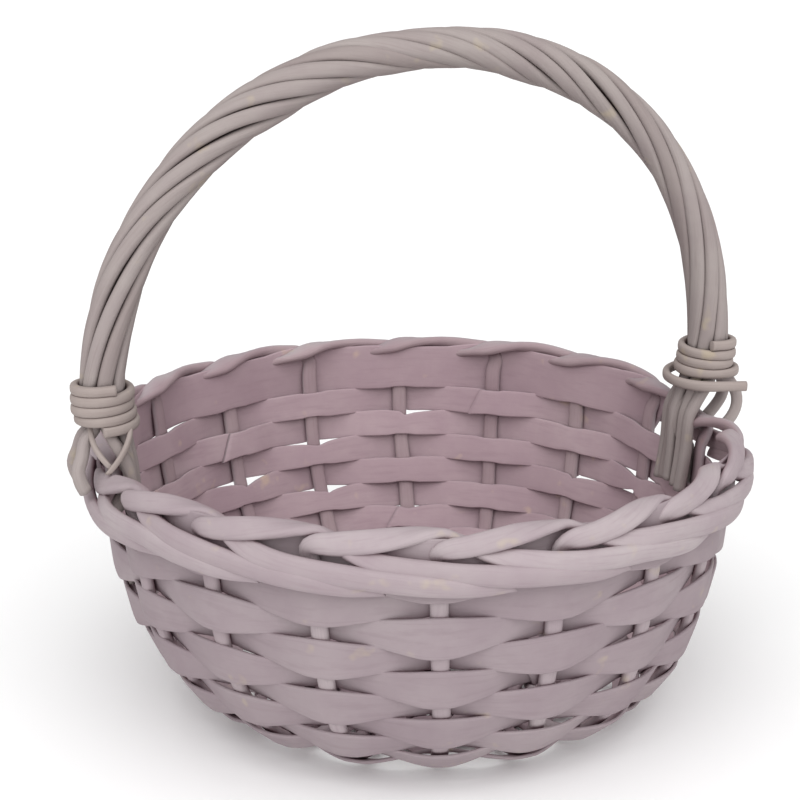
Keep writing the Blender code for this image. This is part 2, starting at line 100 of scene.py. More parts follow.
class Section(Enum):
    """How a piece of willow is shaped across."""

    ROUND = "whole rod"
    PRESSED = "whole rod, pressed flatter where it is bent over others"
    SPLIT = "split rod, with a flat face inside and a rounded one outside"

    def outline(self) -> np.ndarray:
        """The unit outline across a piece.

        Returns:
            Rows of (across, outwards), each from -1 to 1, anticlockwise.
        """
        sides, outer_power, inner_power, across_power = {
            Section.ROUND: (14, 2.0, 2.0, 2.0),
            Section.PRESSED: (16, 2.6, 2.6, 2.7),
            Section.SPLIT: (20, 5.0, 7.0, 6.0),
        }[self]
        turns = np.arange(sides) * math.tau / sides
        across = np.sign(np.cos(turns)) * np.abs(np.cos(turns)) ** (2 / across_power)
        powers = np.where(np.sin(turns) >= 0, outer_power, inner_power)
        outwards = np.sign(np.sin(turns)) * np.abs(np.sin(turns)) ** (2 / powers)
        return np.column_stack([across, outwards])


@dataclass(frozen=True)
class Wander:
    """A smooth unevenness along a piece of willow, the same each time for the same seed.

    Attributes:
        size: Its greatest reach either way.
        waves: How many waves there are along the whole piece, one number a layer.
        weakest: The least that a layer may count, as a share of the most.
    """

    size: float
    waves: tuple[float, ...]
    weakest: float = 0.5

    def along(self, shares: np.ndarray, seed: int) -> np.ndarray:
        """The unevenness at shares of the piece's length.

        Args:
            shares: Places along the piece, from 0 to 1.
            seed: A whole number that tells one piece from another.

        Returns:
            One value a place.
        """
        chance = np.random.default_rng(seed)
        total = np.zeros_like(shares)
        for wave in self.waves:
            total += chance.uniform(self.weakest, 1.0) * np.sin(math.tau * (wave * shares + chance.uniform()))
        return self.size * total / len(self.waves)


def unit(rows: np.ndarray) -> np.ndarray:
    """The rows of an array, each made one long."""
    return rows / np.linalg.norm(rows, axis=-1, keepdims=True)


def eased(values: np.ndarray) -> np.ndarray:
    """Values held between 0 and 1, with a soft start and end."""
    held = np.clip(values, 0, 1)
    return held * held * (3 - 2 * held)


def lengths_along(path: np.ndarray) -> np.ndarray:
    """The distance along a path at each of its points."""
    return np.concatenate([[0.0], np.cumsum(np.linalg.norm(np.diff(path[:, :3], axis=0), axis=1))])


def read_off(places: np.ndarray, table: tuple[tuple[float, float], ...]) -> np.ndarray:
    """A table's second column at places along its first."""
    return np.interp(places, *np.array(table).T)


def bezier(shares: np.ndarray, corners: Sequence[Sequence[float]]) -> np.ndarray:
    """A Bezier curve.

    Args:
        shares: Places along it, from 0 to 1.
        corners: The points that pull it into its shape, of which it meets the first and the last.

    Returns:
        One row a place.
    """
    t = shares[:, None]
    top = len(corners) - 1
    weights = (math.comb(top, power) * t**power * (1 - t) ** (top - power) for power in range(top + 1))
    return sum(weight * np.asarray(corner) for weight, corner in zip(weights, corners))


def smooth_line(knots: np.ndarray, spacing: float, per_span: int = 12) -> np.ndarray:
    """A smooth line through knots, in even steps.

    Args:
        knots: Rows that start with x, y and z. Further columns, such as a width, are carried along.
        spacing: The distance between the line's points.
        per_span: How finely a span is followed before the even steps are taken.

    Returns:
        Rows like those of knots.
    """
    gaps = np.sqrt(np.linalg.norm(np.diff(knots[:, :3], axis=0), axis=1))
    at_knots = np.concatenate([[0.0], np.cumsum(gaps)])
    slopes = np.diff(knots, axis=0) / gaps[:, None]
    before, after = gaps[:-1, None], gaps[1:, None]
    middle = (slopes[:-1] * after + slopes[1:] * before) / (before + after)
    slopes_at_knots = np.vstack([slopes[0], middle, slopes[-1]])
    places = np.linspace(0, at_knots[-1], per_span * len(gaps) + 1)
    span = np.clip(np.searchsorted(at_knots, places) - 1, 0, len(gaps) - 1)
    gap = gaps[span][:, None]
    t = (places - at_knots[span])[:, None] / gap
    line = (
        (1 + 2 * t) * (1 - t) ** 2 * knots[span]
        + t * (1 - t) ** 2 * gap * slopes_at_knots[span]
        + t**2 * (3 - 2 * t) * knots[span + 1]
        + t**2 * (t - 1) * gap * slopes_at_knots[span + 1]
    )
    lengths = lengths_along(line)
    steps = np.linspace(0, lengths[-1], max(FEWEST_STEPS, round(lengths[-1] / spacing)) + 1)
    return np.column_stack([np.interp(steps, lengths, column) for column in line.T])


def sweep(
    name: str,
    path: np.ndarray,
    across: np.ndarray,
    widths: np.ndarray,
    depths: np.ndarray,
    section: Section,
    slants: tuple[float, float] = (0.0, 0.0),
) -> bpy.types.Object:
    """A piece of willow: its section carried along a path, with a cut face at each end.

    Args:
        name: The object's name.
        path: The middle of the piece, one point a row.
        across: The way across the piece, one for all points or one a point. It need not be quite square to the path.
        widths: The size across at each point.
        depths: The size the other way at each point.
        section: The shape across.
        slants: How far the cut leans at the start and at the end, along the piece for each metre across.

    Returns:
        The object, with a UV map in metres: along the piece, then round it.
    """
    outline = section.outline()
    tangents = unit(np.gradient(path, axis=0))
    across = unit(across - tangents * np.sum(across * tangents, axis=1, keepdims=True))
    outwards = np.cross(across, tangents)
    along = lengths_along(path)
    aside = outline[None, :, 0] * widths[:, None] / 2
    reach = across[:, None] * aside[..., None]
    reach += outwards[:, None] * outline[None, :, 1:] * depths[:, None, None] / 2
    for slant, from_end in zip(slants, (along, along[-1] - along)):
        fade = np.clip(1 - from_end / (SLANT_WIDTHS * widths.max()), 0, 1)
        reach += tangents[:, None] * (slant * fade[:, None] * aside)[..., None]
    rings = path[:, None] + reach
    count, sides = rings.shape[:2]
    domes = [path[end] + way * tangents[end] * depths[end] / DOME_HEIGHTS for end, way in ((0, -1), (-1, 1))]
    shape = bmesh.new()
    verts = [shape.verts.new(point) for point in (*rings.reshape(-1, 3), *domes)]
    map_layer = shape.loops.layers.uv.new("willow")
    girth = np.mean(widths + depths) * math.pi / 2

    def cover(corners: list[tuple[int, int]]) -> None:
        """Makes a face of the skin.

        Args:
            corners: Its corners as ring and side, where the side may be one past the last.
        """
        face = shape.faces.new([verts[ring * sides + side % sides] for ring, side in corners])
        face.smooth = True
        for loop, (ring, side) in zip(face.loops, corners):
            loop[map_layer].uv = (along[ring], girth * side / sides)

    for ring in range(count - 1):
        for side in range(sides):
            cover([(ring, side), (ring, side + 1), (ring + 1, side + 1), (ring + 1, side)])
    for ring, centre in ((0, verts[-2]), (count - 1, verts[-1])):
        for side in range(sides):
            rim = [verts[ring * sides + side], verts[ring * sides + (side + 1) % sides]]
            face = shape.faces.new([*rim, centre])
            for loop in face.loops:
                loop[map_layer].uv = (along[ring], girth * side / sides)
    bmesh.ops.recalc_face_normals(shape, faces=shape.faces)
    mesh = bpy.data.meshes.new(name)
    shape.to_mesh(mesh)
    shape.free()
    return bpy.data.objects.new(name, mesh)


def square_to(path: np.ndarray, outwards: np.ndarray) -> np.ndarray:
    """The way across a piece that lies with its broad face outwards.

    Args:
        path: The middle of the piece.
        outwards: The way out, one for all points or one a point.

    Returns:
        One unit row a point.
    """
    return unit(np.cross(unit(np.gradient(path, axis=0)), outwards))


# Finishes


def linear(hex_code: str) -> tuple[float, float, float, float]:
    """The linear colour of an sRGB hex code, with full alpha."""
    parts = [int(hex_code[i : i + 2], 16) / 255 for i in (0, 2, 4)]
    return (*[c / 12.92 if c <= 0.04045 else ((c + 0.055) / 1.055) ** 2.4 for c in parts], 1.0)


def add_node(
    tree: bpy.types.NodeTree, kind: str, settings: dict[str, Any] | None = None, **inputs: Any
) -> bpy.types.Node:
    """Adds a node with its settings and links.

    Args:
        tree: The material's nodes.
        kind: The node's Blender name.
        settings: Its own properties.
        **inputs: Values or output sockets for its inputs, by name with _ for a space, or in_0, in_1 by number.

    Returns:
        The node.
    """
    node = tree.nodes.new(kind)
    for key, value in (settings or {}).items():
        setattr(node, key, value)
    for key, value in inputs.items():
        which = int(key[3:]) if key.startswith("in_") else key.replace("_", " ")
        socket = node.inputs[which]
        if isinstance(value, bpy.types.NodeSocket):
            tree.links.new(value, socket)
        else:
            socket.default_value = value
    return node


@dataclass(frozen=True)
class PaintedWillow:
    """Peeled willow, brushed with one coat of matt chalky paint.

    The eye gets a soft, dry, pale mauve that varies from rod to rod and place to place, faint lines along the grain
    under the coat, and a few yellowish marks where the paint is rubbed. Painted shade, plum or dark brown, darkens the
    crevices where other pieces lie near, and painted light tints the faces that look into the bowl.

    Attributes:
        name: The material's name.
        coat: The paint's colour where it lies evenly.
        thin: Its colour where it is thin and the willow shows through.
        chalk: Its colour where it is thick and dusty.
        crevice: The colour of the painted shade in the crevices between pieces.
        crevice_start: How open a place is, from 1 in the open to 0, where that painted shade begins.
        crevice_fall: How many times less open it is where it has taken that colour fully.
        inner_gain: How many times as much red, green and blue the paint gives back on faces that look into the bowl:
            painted light inside the bowl, pinker, lighter on the strips and a little darker on the stakes.
        inner_range: The distance from the basket's middle line, times how squarely a face looks out (1) or in (-1):
            where that painted light begins, and where it is full.
        rubbed: The colour of the rubbed marks.
        rubbed_share: How much of the surface is rubbed.
        line_share: How much the lines of grain show.
        rod_tint: How far the colour of a whole rod may go from the others towards the thin one.
        mark_strength: How much a rubbed mark shows.
        patch_range: The strengths of the noise, from 0 to 1, where a chalky patch begins and is full.
        line_range: The same for a line of grain, from full to none.
        mark_range: The same for a rubbed mark, before rubbed_share widens it.
        roughness: The paint's roughness.
        gloss: Its specular level.
        line_width: The distance between lines of grain, across the rod.
        line_length: How long a line of grain runs.
        line_depth: How deep the lines show through the coat.
        relief: How much of that depth the light follows.
        brush_share: How high the brush's marks stand, as a share of the lines' depth.
        brush_size: How far it is from one mark of the brush to the next.
        patch_size: How far it is from one tint to the next.
        mark_size: How far it is from one rubbed mark to the next.
        rod_shift: How far the grain is moved at most between rods, in lines and lengths of line.
        crevice_reach: How near another piece must be for the painted shade.
        crevice_rays: How many times a sample of the picture looks for one.
    """

    name: str
    coat: str
    thin: str
    chalk: str
    crevice: str = "6B4F56"
    crevice_start: float = 0.62
    crevice_fall: float = 5.0
    inner_gain: tuple[float, float, float] = (1.0, 1.0, 1.0)
    inner_range: tuple[float, float] = (-10 * MILLIMETRE, -80 * MILLIMETRE)
    rubbed: str = "C3B48F"
    rubbed_share: float = 0.04
    line_share: float = 0.30
    rod_tint: float = 0.40
    mark_strength: float = 0.32
    patch_range: tuple[float, float] = (0.34, 0.66)
    line_range: tuple[float, float] = (0.28, 0.50)
    mark_range: tuple[float, float] = (0.70, 0.82)
    roughness: float = 0.85
    gloss: float = 0.25
    line_width: float = 0.7 * MILLIMETRE
    line_length: float = 18 * MILLIMETRE
    line_depth: float = 0.10 * MILLIMETRE
    relief: float = 0.8
    brush_share: float = 0.6
    brush_size: float = 2.4 * MILLIMETRE
    patch_size: float = 30 * MILLIMETRE
    mark_size: float = 11 * MILLIMETRE
    rod_shift: tuple[float, float, float] = (37.0, 53.0, 71.0)
    crevice_reach: float = 5 * MILLIMETRE
    crevice_rays: int = 6

    def material(self) -> bpy.types.Material:
        """Builds the material.

        Returns:
            A node material that reads the UV map in metres and the object's own coordinates.
        """
        made = bpy.data.materials.new(self.name)
        made.use_nodes = True
        tree = made.node_tree
        shader = tree.nodes["Principled BSDF"]
        add = partial(add_node, tree)
        place = add("ShaderNodeTexCoord")
        chance = add("ShaderNodeObjectInfo").outputs["Random"]
        lengthwise = add(
            "ShaderNodeMapping", Vector=place.outputs["UV"], Scale=(1 / self.line_length, 1 / self.line_width, 1.0),
        )
        shifted = add(
            "ShaderNodeVectorMath", {"operation": "MULTIPLY_ADD"}, in_0=chance, in_1=self.rod_shift,
            in_2=lengthwise.outputs[0],
        )
        # Each noise: where it is read, the size of its marks, how many finer layers it has and how strong they are
        noises = (
            (shifted.outputs[0], 1.0, 3.0, 0.6), (place.outputs["Object"], self.patch_size, 4.0, 0.6),
            (place.outputs["Object"], self.mark_size, 2.0, 0.5), (place.outputs["Object"], self.brush_size, 2.0, 0.6),
        )
        grain, patches, marks, brush = (
            add("ShaderNodeTexNoise", Vector=where, Scale=1 / size, Detail=detail, Roughness=rough).outputs["Fac"]
            for where, size, detail, rough in noises
        )
        # Each tint over the coat: what sets its share, from which value to which, from which share to which
        tints = (
            (patches, self.patch_range, (0.0, 1.0), self.chalk),
            (chance, (0.0, 1.0), (0.0, self.rod_tint), self.thin),
            (grain, self.line_range, (self.line_share, 0.0), self.thin),
            (marks, [edge - self.rubbed_share for edge in self.mark_range], (0.0, self.mark_strength), self.rubbed),
        )
        colour = linear(self.coat)
        for source, (low, high), (first, last), tint in tints:
            share = add("ShaderNodeMapRange", Value=source, From_Min=low, From_Max=high, To_Min=first, To_Max=last)
            mixed = add(
                "ShaderNodeMix", {"data_type": "RGBA"}, in_0=share.outputs[0], in_6=colour, in_7=linear(tint),
            )
            colour = mixed.outputs[2]
        # Painted light: faces that look into the bowl take the inner light gain, standing in for the light inside the
        # bowl
        surface = add("ShaderNodeNewGeometry")
        level_place = add(
            "ShaderNodeVectorMath", {"operation": "MULTIPLY"}, in_0=surface.outputs["Position"],
            in_1=(1.0, 1.0, 0.0),
        )
        outwards = add(
            "ShaderNodeVectorMath", {"operation": "DOT_PRODUCT"}, in_0=surface.outputs["Normal"],
            in_1=level_place.outputs[0],
        )
        looks_in = add(
            "ShaderNodeMapRange", Value=outwards.outputs["Value"], From_Min=self.inner_range[0],
            From_Max=self.inner_range[1],
        )
        inner = add(
            "ShaderNodeMix", {"data_type": "RGBA", "blend_type": "MULTIPLY"}, in_0=looks_in.outputs[0],
            in_6=colour, in_7=(*self.inner_gain, 1.0),
        )
        # Painted shade: where other pieces are near, the colour goes over to the crevice shade colour
        open_sky = add("ShaderNodeAmbientOcclusion", {"samples": self.crevice_rays}, Distance=self.crevice_reach)
        shade_share = add(
            "ShaderNodeMapRange", Value=open_sky.outputs["AO"], From_Min=self.crevice_start / self.crevice_fall,
            From_Max=self.crevice_start, To_Min=1.0, To_Max=0.0,
        )
        coloured = add(
            "ShaderNodeMix", {"data_type": "RGBA"}, in_0=shade_share.outputs[0], in_6=inner.outputs[2],
            in_7=linear(self.crevice),
        )
        height = add("ShaderNodeMath", {"operation": "MULTIPLY_ADD"}, in_0=brush, in_1=self.brush_share, in_2=grain)
        bump = add("ShaderNodeBump", Strength=self.relief, Distance=self.line_depth, Height=height.outputs[0])
        tree.links.new(coloured.outputs[2], shader.inputs["Base Color"])
        tree.links.new(bump.outputs[0], shader.inputs["Normal"])
        for socket, value in (("Roughness", self.roughness), ("Metallic", 0.0), ("Specular IOR Level", self.gloss)):
            shader.inputs[socket].default_value = value
        return made


# The crevice shade colours and the inner light gains of these finishes are painted shade and painted light
STAKE_PAINT = PaintedWillow(
    "painted_peeled_willow_stakes", coat="A3959A", thin="907F85", chalk="AFA4A6", inner_gain=(0.96, 0.86, 0.87),
)
STRIP_PAINT = PaintedWillow(
    "painted_split_willow", coat="96888D", thin="84747A", chalk="A19598", rubbed_share=0.03,
    crevice="7A6068", crevice_start=0.52, inner_gain=(1.40, 1.27, 1.30),
)
BASE_PAINT = PaintedWillow("painted_base_willow", coat="927F86", thin="7B666D", chalk="9E8D92")
HANDLE_PAINT = PaintedWillow(
    "painted_handle_willow", coat="968B8A", thin="827573", chalk="9F9693", rubbed_share=0.06, crevice="3A2A2A",
    crevice_start=0.52,
)
BINDING_PAINT = PaintedWillow(
    "painted_thin_willow_binding", coat="998D89", thin="847672", chalk="A39893", rubbed_share=0.06,
    crevice="5A4644",
)


@dataclass
class Workshop:
    """Puts finished pieces in the scene. Each finish makes its material once.

    Attributes:
        made: How many pieces there are so far.
        materials: The materials made so far, by name.
    """

    made: int = 0
    materials: dict[str, bpy.types.Material] = field(default_factory=dict)

    def seat(
        self, piece: bpy.types.Object, finish: PaintedWillow, node: str | None = None
    ) -> bpy.types.Object:
        """Dresses a piece and puts it where its solid is.

        Args:
            piece: The new object.
            finish: Its finish.
            node: The solid that it stands for, if it stands for one by itself.

        Returns:
            The same object.
        """
        if finish.name not in self.materials:
            self.materials[finish.name] = finish.material()
        piece.data.materials.append(self.materials[finish.name])
        bpy.context.scene.collection.objects.link(piece)
        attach(piece, "root")
        if node:
            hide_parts(node)
        self.made += 1
        logger.info("%s: %d faces", piece.name, len(piece.data.polygons))
        return piece


# The bowl


@dataclass(frozen=True)
class Bowl:
    """The woven wall's middle surface, which stakes, rows and border all follow."""

    stake_count: int = 18
    base_radius: float = 0.0745
    base_level: float = 0.0052
    base_dome: float = 0.0020
    base_drift: float = 0.0050
    turn_radius: float = 0.104
    turn_level: float = 0.010
    belly_radius: float = 0.1240
    belly_level: float = 0.038
    rim_radius: float = 0.1295
    rim_level: float = 0.112
    rim_dip: float = 0.0080
    rim_pull: float = 0.0018
    rim_pull_spread: float = math.radians(17)
    first_stake: float = math.radians(-4.5)
    bow_tip_level: float = 0.062
    wall_points: int = 241

    @property
    def stake_step(self) -> float:
        """The angle from one stake to the next."""
        return math.tau / self.stake_count

    @cached_property
    def wall(self) -> np.ndarray:
        """The wall's middle line, from the base's edge to the rim.

        Returns:
            Rows of radius, level and distance along the line.
        """
        corners = (
            (self.base_radius, self.base_level), (self.turn_radius, self.turn_level),
            (self.belly_radius, self.belly_level), (self.rim_radius, self.rim_level),
        )
        line = bezier(np.linspace(0, 1, self.wall_points), corners)
        return np.column_stack([line, lengths_along(line)])

    @property
    def rim_arc(self) -> float:
        """The distance along the wall at the rim."""
        return float(self.wall[-1, 2])

    def at_arc(self, arc: np.ndarray | float) -> tuple[np.ndarray, np.ndarray]:
        """Radius and level at a distance along the wall, and the way out of the basket there.

        Args:
            arc: Distances along the wall from the base's edge. Past the rim the wall goes straight on.

        Returns:
            Two arrays of (radius, level) rows.
        """
        arc = np.atleast_1d(arc)
        radius, level, lengths = self.wall.T
        along = unit(np.gradient(self.wall[:, :2], axis=0))
        way = np.column_stack([np.interp(arc, lengths, along[:, 0]), np.interp(arc, lengths, along[:, 1])])
        place = np.column_stack([np.interp(arc, lengths, radius), np.interp(arc, lengths, level)])
        place += way * np.maximum(arc - self.rim_arc, 0)[:, None]
        return place, unit(np.column_stack([way[:, 1], -way[:, 0]]))

    def arc_at(self, level: float) -> float:
        """The distance along the wall where it reaches a level."""
        return float(np.interp(level, self.wall[:, 1], self.wall[:, 2]))

    def radius_at(self, level: float) -> float:
        """The radius of the wall's middle at a level."""
        return float(np.interp(level, self.wall[:, 1], self.wall[:, 0]))

    def pull_at(self, angle: np.ndarray | float, level: np.ndarray | float) -> np.ndarray:
        """How much of the handle's pull on the rim the wall feels.

        Args:
            angle: Directions from +X.
            level: Heights above the floor.

        Returns:
            Shares, from 0 to 1.
        """
        turn = np.mod(np.asarray(angle) + math.pi / 2, math.pi) - math.pi / 2
        height = np.clip(np.asarray(level) / self.rim_level, 0, 1)
        return np.exp(-((turn / self.rim_pull_spread) ** 2)) * height**2

    def drift_at(self, level: np.ndarray | float) -> np.ndarray:
        """How far the bowl has moved along +X from under the rim, all of it at the floor, as it was woven by eye."""
        return self.base_drift * (1 - np.minimum(level, self.rim_level) / self.rim_level) ** 2

    def place(
        self, radius: np.ndarray | float, angle: np.ndarray | float, level: np.ndarray | float
    ) -> np.ndarray:
        """Points of the wall or border, drawn down and in beside the handle.

        Args:
            radius: Distances from the middle.
            angle: Directions from +X.
            level: Heights above the floor.

        Returns:
            Rows of x, y and z.
        """
        pull = self.pull_at(angle, level)
        drawn = radius - self.rim_pull * pull
        x = drawn * np.cos(angle) + self.drift_at(level)
        return np.column_stack([x, drawn * np.sin(angle), level - self.rim_dip * pull])

    def floor_at(self, radius: np.ndarray | float) -> np.ndarray:
        """The level of the base's middle, which rises a little towards the centre."""
        return self.base_level + self.base_dome * (1 - (np.minimum(radius, self.base_radius) / self.base_radius) ** 2)

    def stake_angle(self, number: np.ndarray | float) -> np.ndarray | float:
        """The direction of a stake."""
        return self.first_stake + number * self.stake_step

    def is_beside_bow(self, number: int) -> bool:
        """Whether a stake stands next to one of the handle's two ends."""
        return number % (self.stake_count // 2) == 0


@dataclass(frozen=True)
class Stakes:
    """Eighteen upright rods, bent down to the right at the rim to make the border.

    Attributes:
        bowl: The wall that they stand in.
        border_shares: A bent-down stake, one row a point: stake spacings past its own stake, then outwards and up
            along the wall from the rim line in stake diameters, then its thickness, then how far its broad face is
            turned up from the way out of the wall, in degrees.
        growth_length: How far up the wall a stake reaches its full thickness.
        fade_share: How much of either end the unevenness needs to come in.
        slants: How its two cuts lean.
    """

    bowl: Bowl
    diameter: float = 0.0063
    wall_width: float = 0.0068
    wall_depth: float = 0.0040
    butt_diameter: float = 0.0042
    butt_start: float = 0.048
    border_width: float = 0.0085
    border_depth: float = 0.0045
    knee_spacings: float = 0.12
    short_end: float = 3.10
    wall_knots: int = 9
    growth_length: float = 0.024
    fade_share: float = 0.125
    slants: tuple[float, float] = (0.0, 0.6)
    sideways: Wander = Wander(1.0 * MILLIMETRE, (1.3, 2.9, 5.1))
    swelling: Wander = Wander(0.10, (1.7, 4.3, 9.7))
    rise: Wander = Wander(0.7 * MILLIMETRE, (2.1, 5.3))
    border_shares: tuple[tuple[float, float, float, float, float], ...] = (
        (0.00, 0.07, -0.79, 1.00, 0),
        (-0.02, 0.22, -0.24, 1.00, 0),
        (0.00, 0.44, 0.16, 1.00, 0),
        (0.07, 0.60, 0.42, 1.00, 8),
        (0.22, 0.64, 0.54, 1.00, 15),
        (0.46, 0.54, 0.78, 1.00, 32),
        (0.70, 0.22, 0.96, 1.00, 66),
        (0.90, -0.18, 0.98, 1.00, 100),
        (1.06, -0.38, 0.80, 0.96, 120),
        (1.20, -0.08, 0.50, 0.88, 104),
        (1.34, 0.40, 0.12, 0.92, 66),
        (1.54, 0.86, -0.30, 1.00, 36),
        (1.76, 1.14, -0.50, 1.00, 14),
        (2.02, 1.24, -0.70, 1.00, 4),
        (2.32, 1.27, -0.92, 1.00, 0),
        (2.66, 1.30, -1.22, 0.98, -5),
        (3.00, 1.30, -1.54, 0.94, -8),
        (3.30, 1.20, -1.80, 0.76, -8),
        (3.58, 0.96, -1.98, 0.38, -8),
    )

    def knots(self, number: int) -> np.ndarray:
        """A stake's knots.

        Args:
            number: The stake, from 0.

        Returns:
            Rows of x, y, z, the way out (three numbers), width and depth.
        """
        angle = self.bowl.stake_angle(number)
        rows = []
        for radius in (self.butt_start, (self.butt_start + self.bowl.base_radius) / 2):
            point = self.bowl.place(radius, angle, self.bowl.floor_at(radius))[0]
            rows.append([*point, 0.0, 0.0, -1.0, self.butt_diameter, self.butt_diameter])
        lengths = np.linspace(0, self.bowl.arc_at(self.bowl.rim_level - self.diameter), self.wall_knots)
        places, ways_out = self.bowl.at_arc(lengths)
        for (radius, level), (out, up), length in zip(places, ways_out, lengths):
            point = self.bowl.place(radius, angle, level)[0]
            grown = min(1.0, length / self.growth_length)
            width = self.butt_diameter + (self.wall_width - self.butt_diameter) * grown
            depth = self.butt_diameter + (self.wall_depth - self.butt_diameter) * grown
            rows.append([*point, out * math.cos(angle), out * math.sin(angle), up, width, depth])
        (rim,), (outwards,) = self.bowl.at_arc(self.bowl.rim_arc)
        along = np.array([-outwards[1], outwards[0]])
        for spacings, out_share, up_share, thickness, lean in self.border_rows(number)[1:]:
            turned = angle + spacings * self.bowl.stake_step
            radius, level = rim + self.diameter * (out_share * outwards + up_share * along)
            point = self.bowl.place(radius, turned, level)[0]
            out, up = math.cos(math.radians(lean)) * outwards + math.sin(math.radians(lean)) * along
            way = unit(np.array([out * math.cos(turned), out * math.sin(turned), up]))
            spread = min(1.0, spacings / self.knee_spacings)
            width = self.wall_width + (self.border_width - self.wall_width) * spread
            depth = self.wall_depth + (self.border_depth - self.wall_depth) * spread
            rows.append([*point, *way, width * thickness, depth * thickness])
        return np.array(rows)

    def border_rows(self, number: int) -> np.ndarray:
        """The border's table for one stake, cut short where it would end behind the bow.

        Args:
            number: The stake, from 0.

        Returns:
            Rows like those of border_shares.
        """
        table = np.array(self.border_shares)
        if not self.bowl.is_beside_bow(number + int(self.short_end)):
            return table
        last = [np.interp(self.short_end, table[:, 0], column) for column in table.T]
        return np.vstack([table[table[:, 0] < self.short_end], last])

    def build(self, workshop: Workshop) -> None:
        """Makes every stake.

        Args:
            workshop: Where they go.
        """
        for number in range(self.bowl.stake_count):
            line = smooth_line(self.knots(number), STEP)
            shares = np.linspace(0, 1, len(line))
            path, outwards = line[:, :3], unit(line[:, 3:6])
            across = square_to(path, outwards)
            hold = np.clip(np.minimum(shares, 1 - shares) / self.fade_share, 0, 1)
            path = path + across * (self.sideways.along(shares, Seed.STAKE_SIDEWAYS + number) * hold)[:, None]
            path = path + outwards * (self.rise.along(shares, Seed.STAKE_RISE + number) * hold)[:, None]
            swell = 1 + self.swelling.along(shares, Seed.STAKE_SWELLING + number)
            piece = sweep(
                f"willow_stake_{number + 1:02d}", path, across, line[:, 6] * swell, line[:, 7] * swell,
                Section.PRESSED, self.slants,
            )
            workshop.seat(piece, STAKE_PAINT, f"stake_{number + 1:02d}")


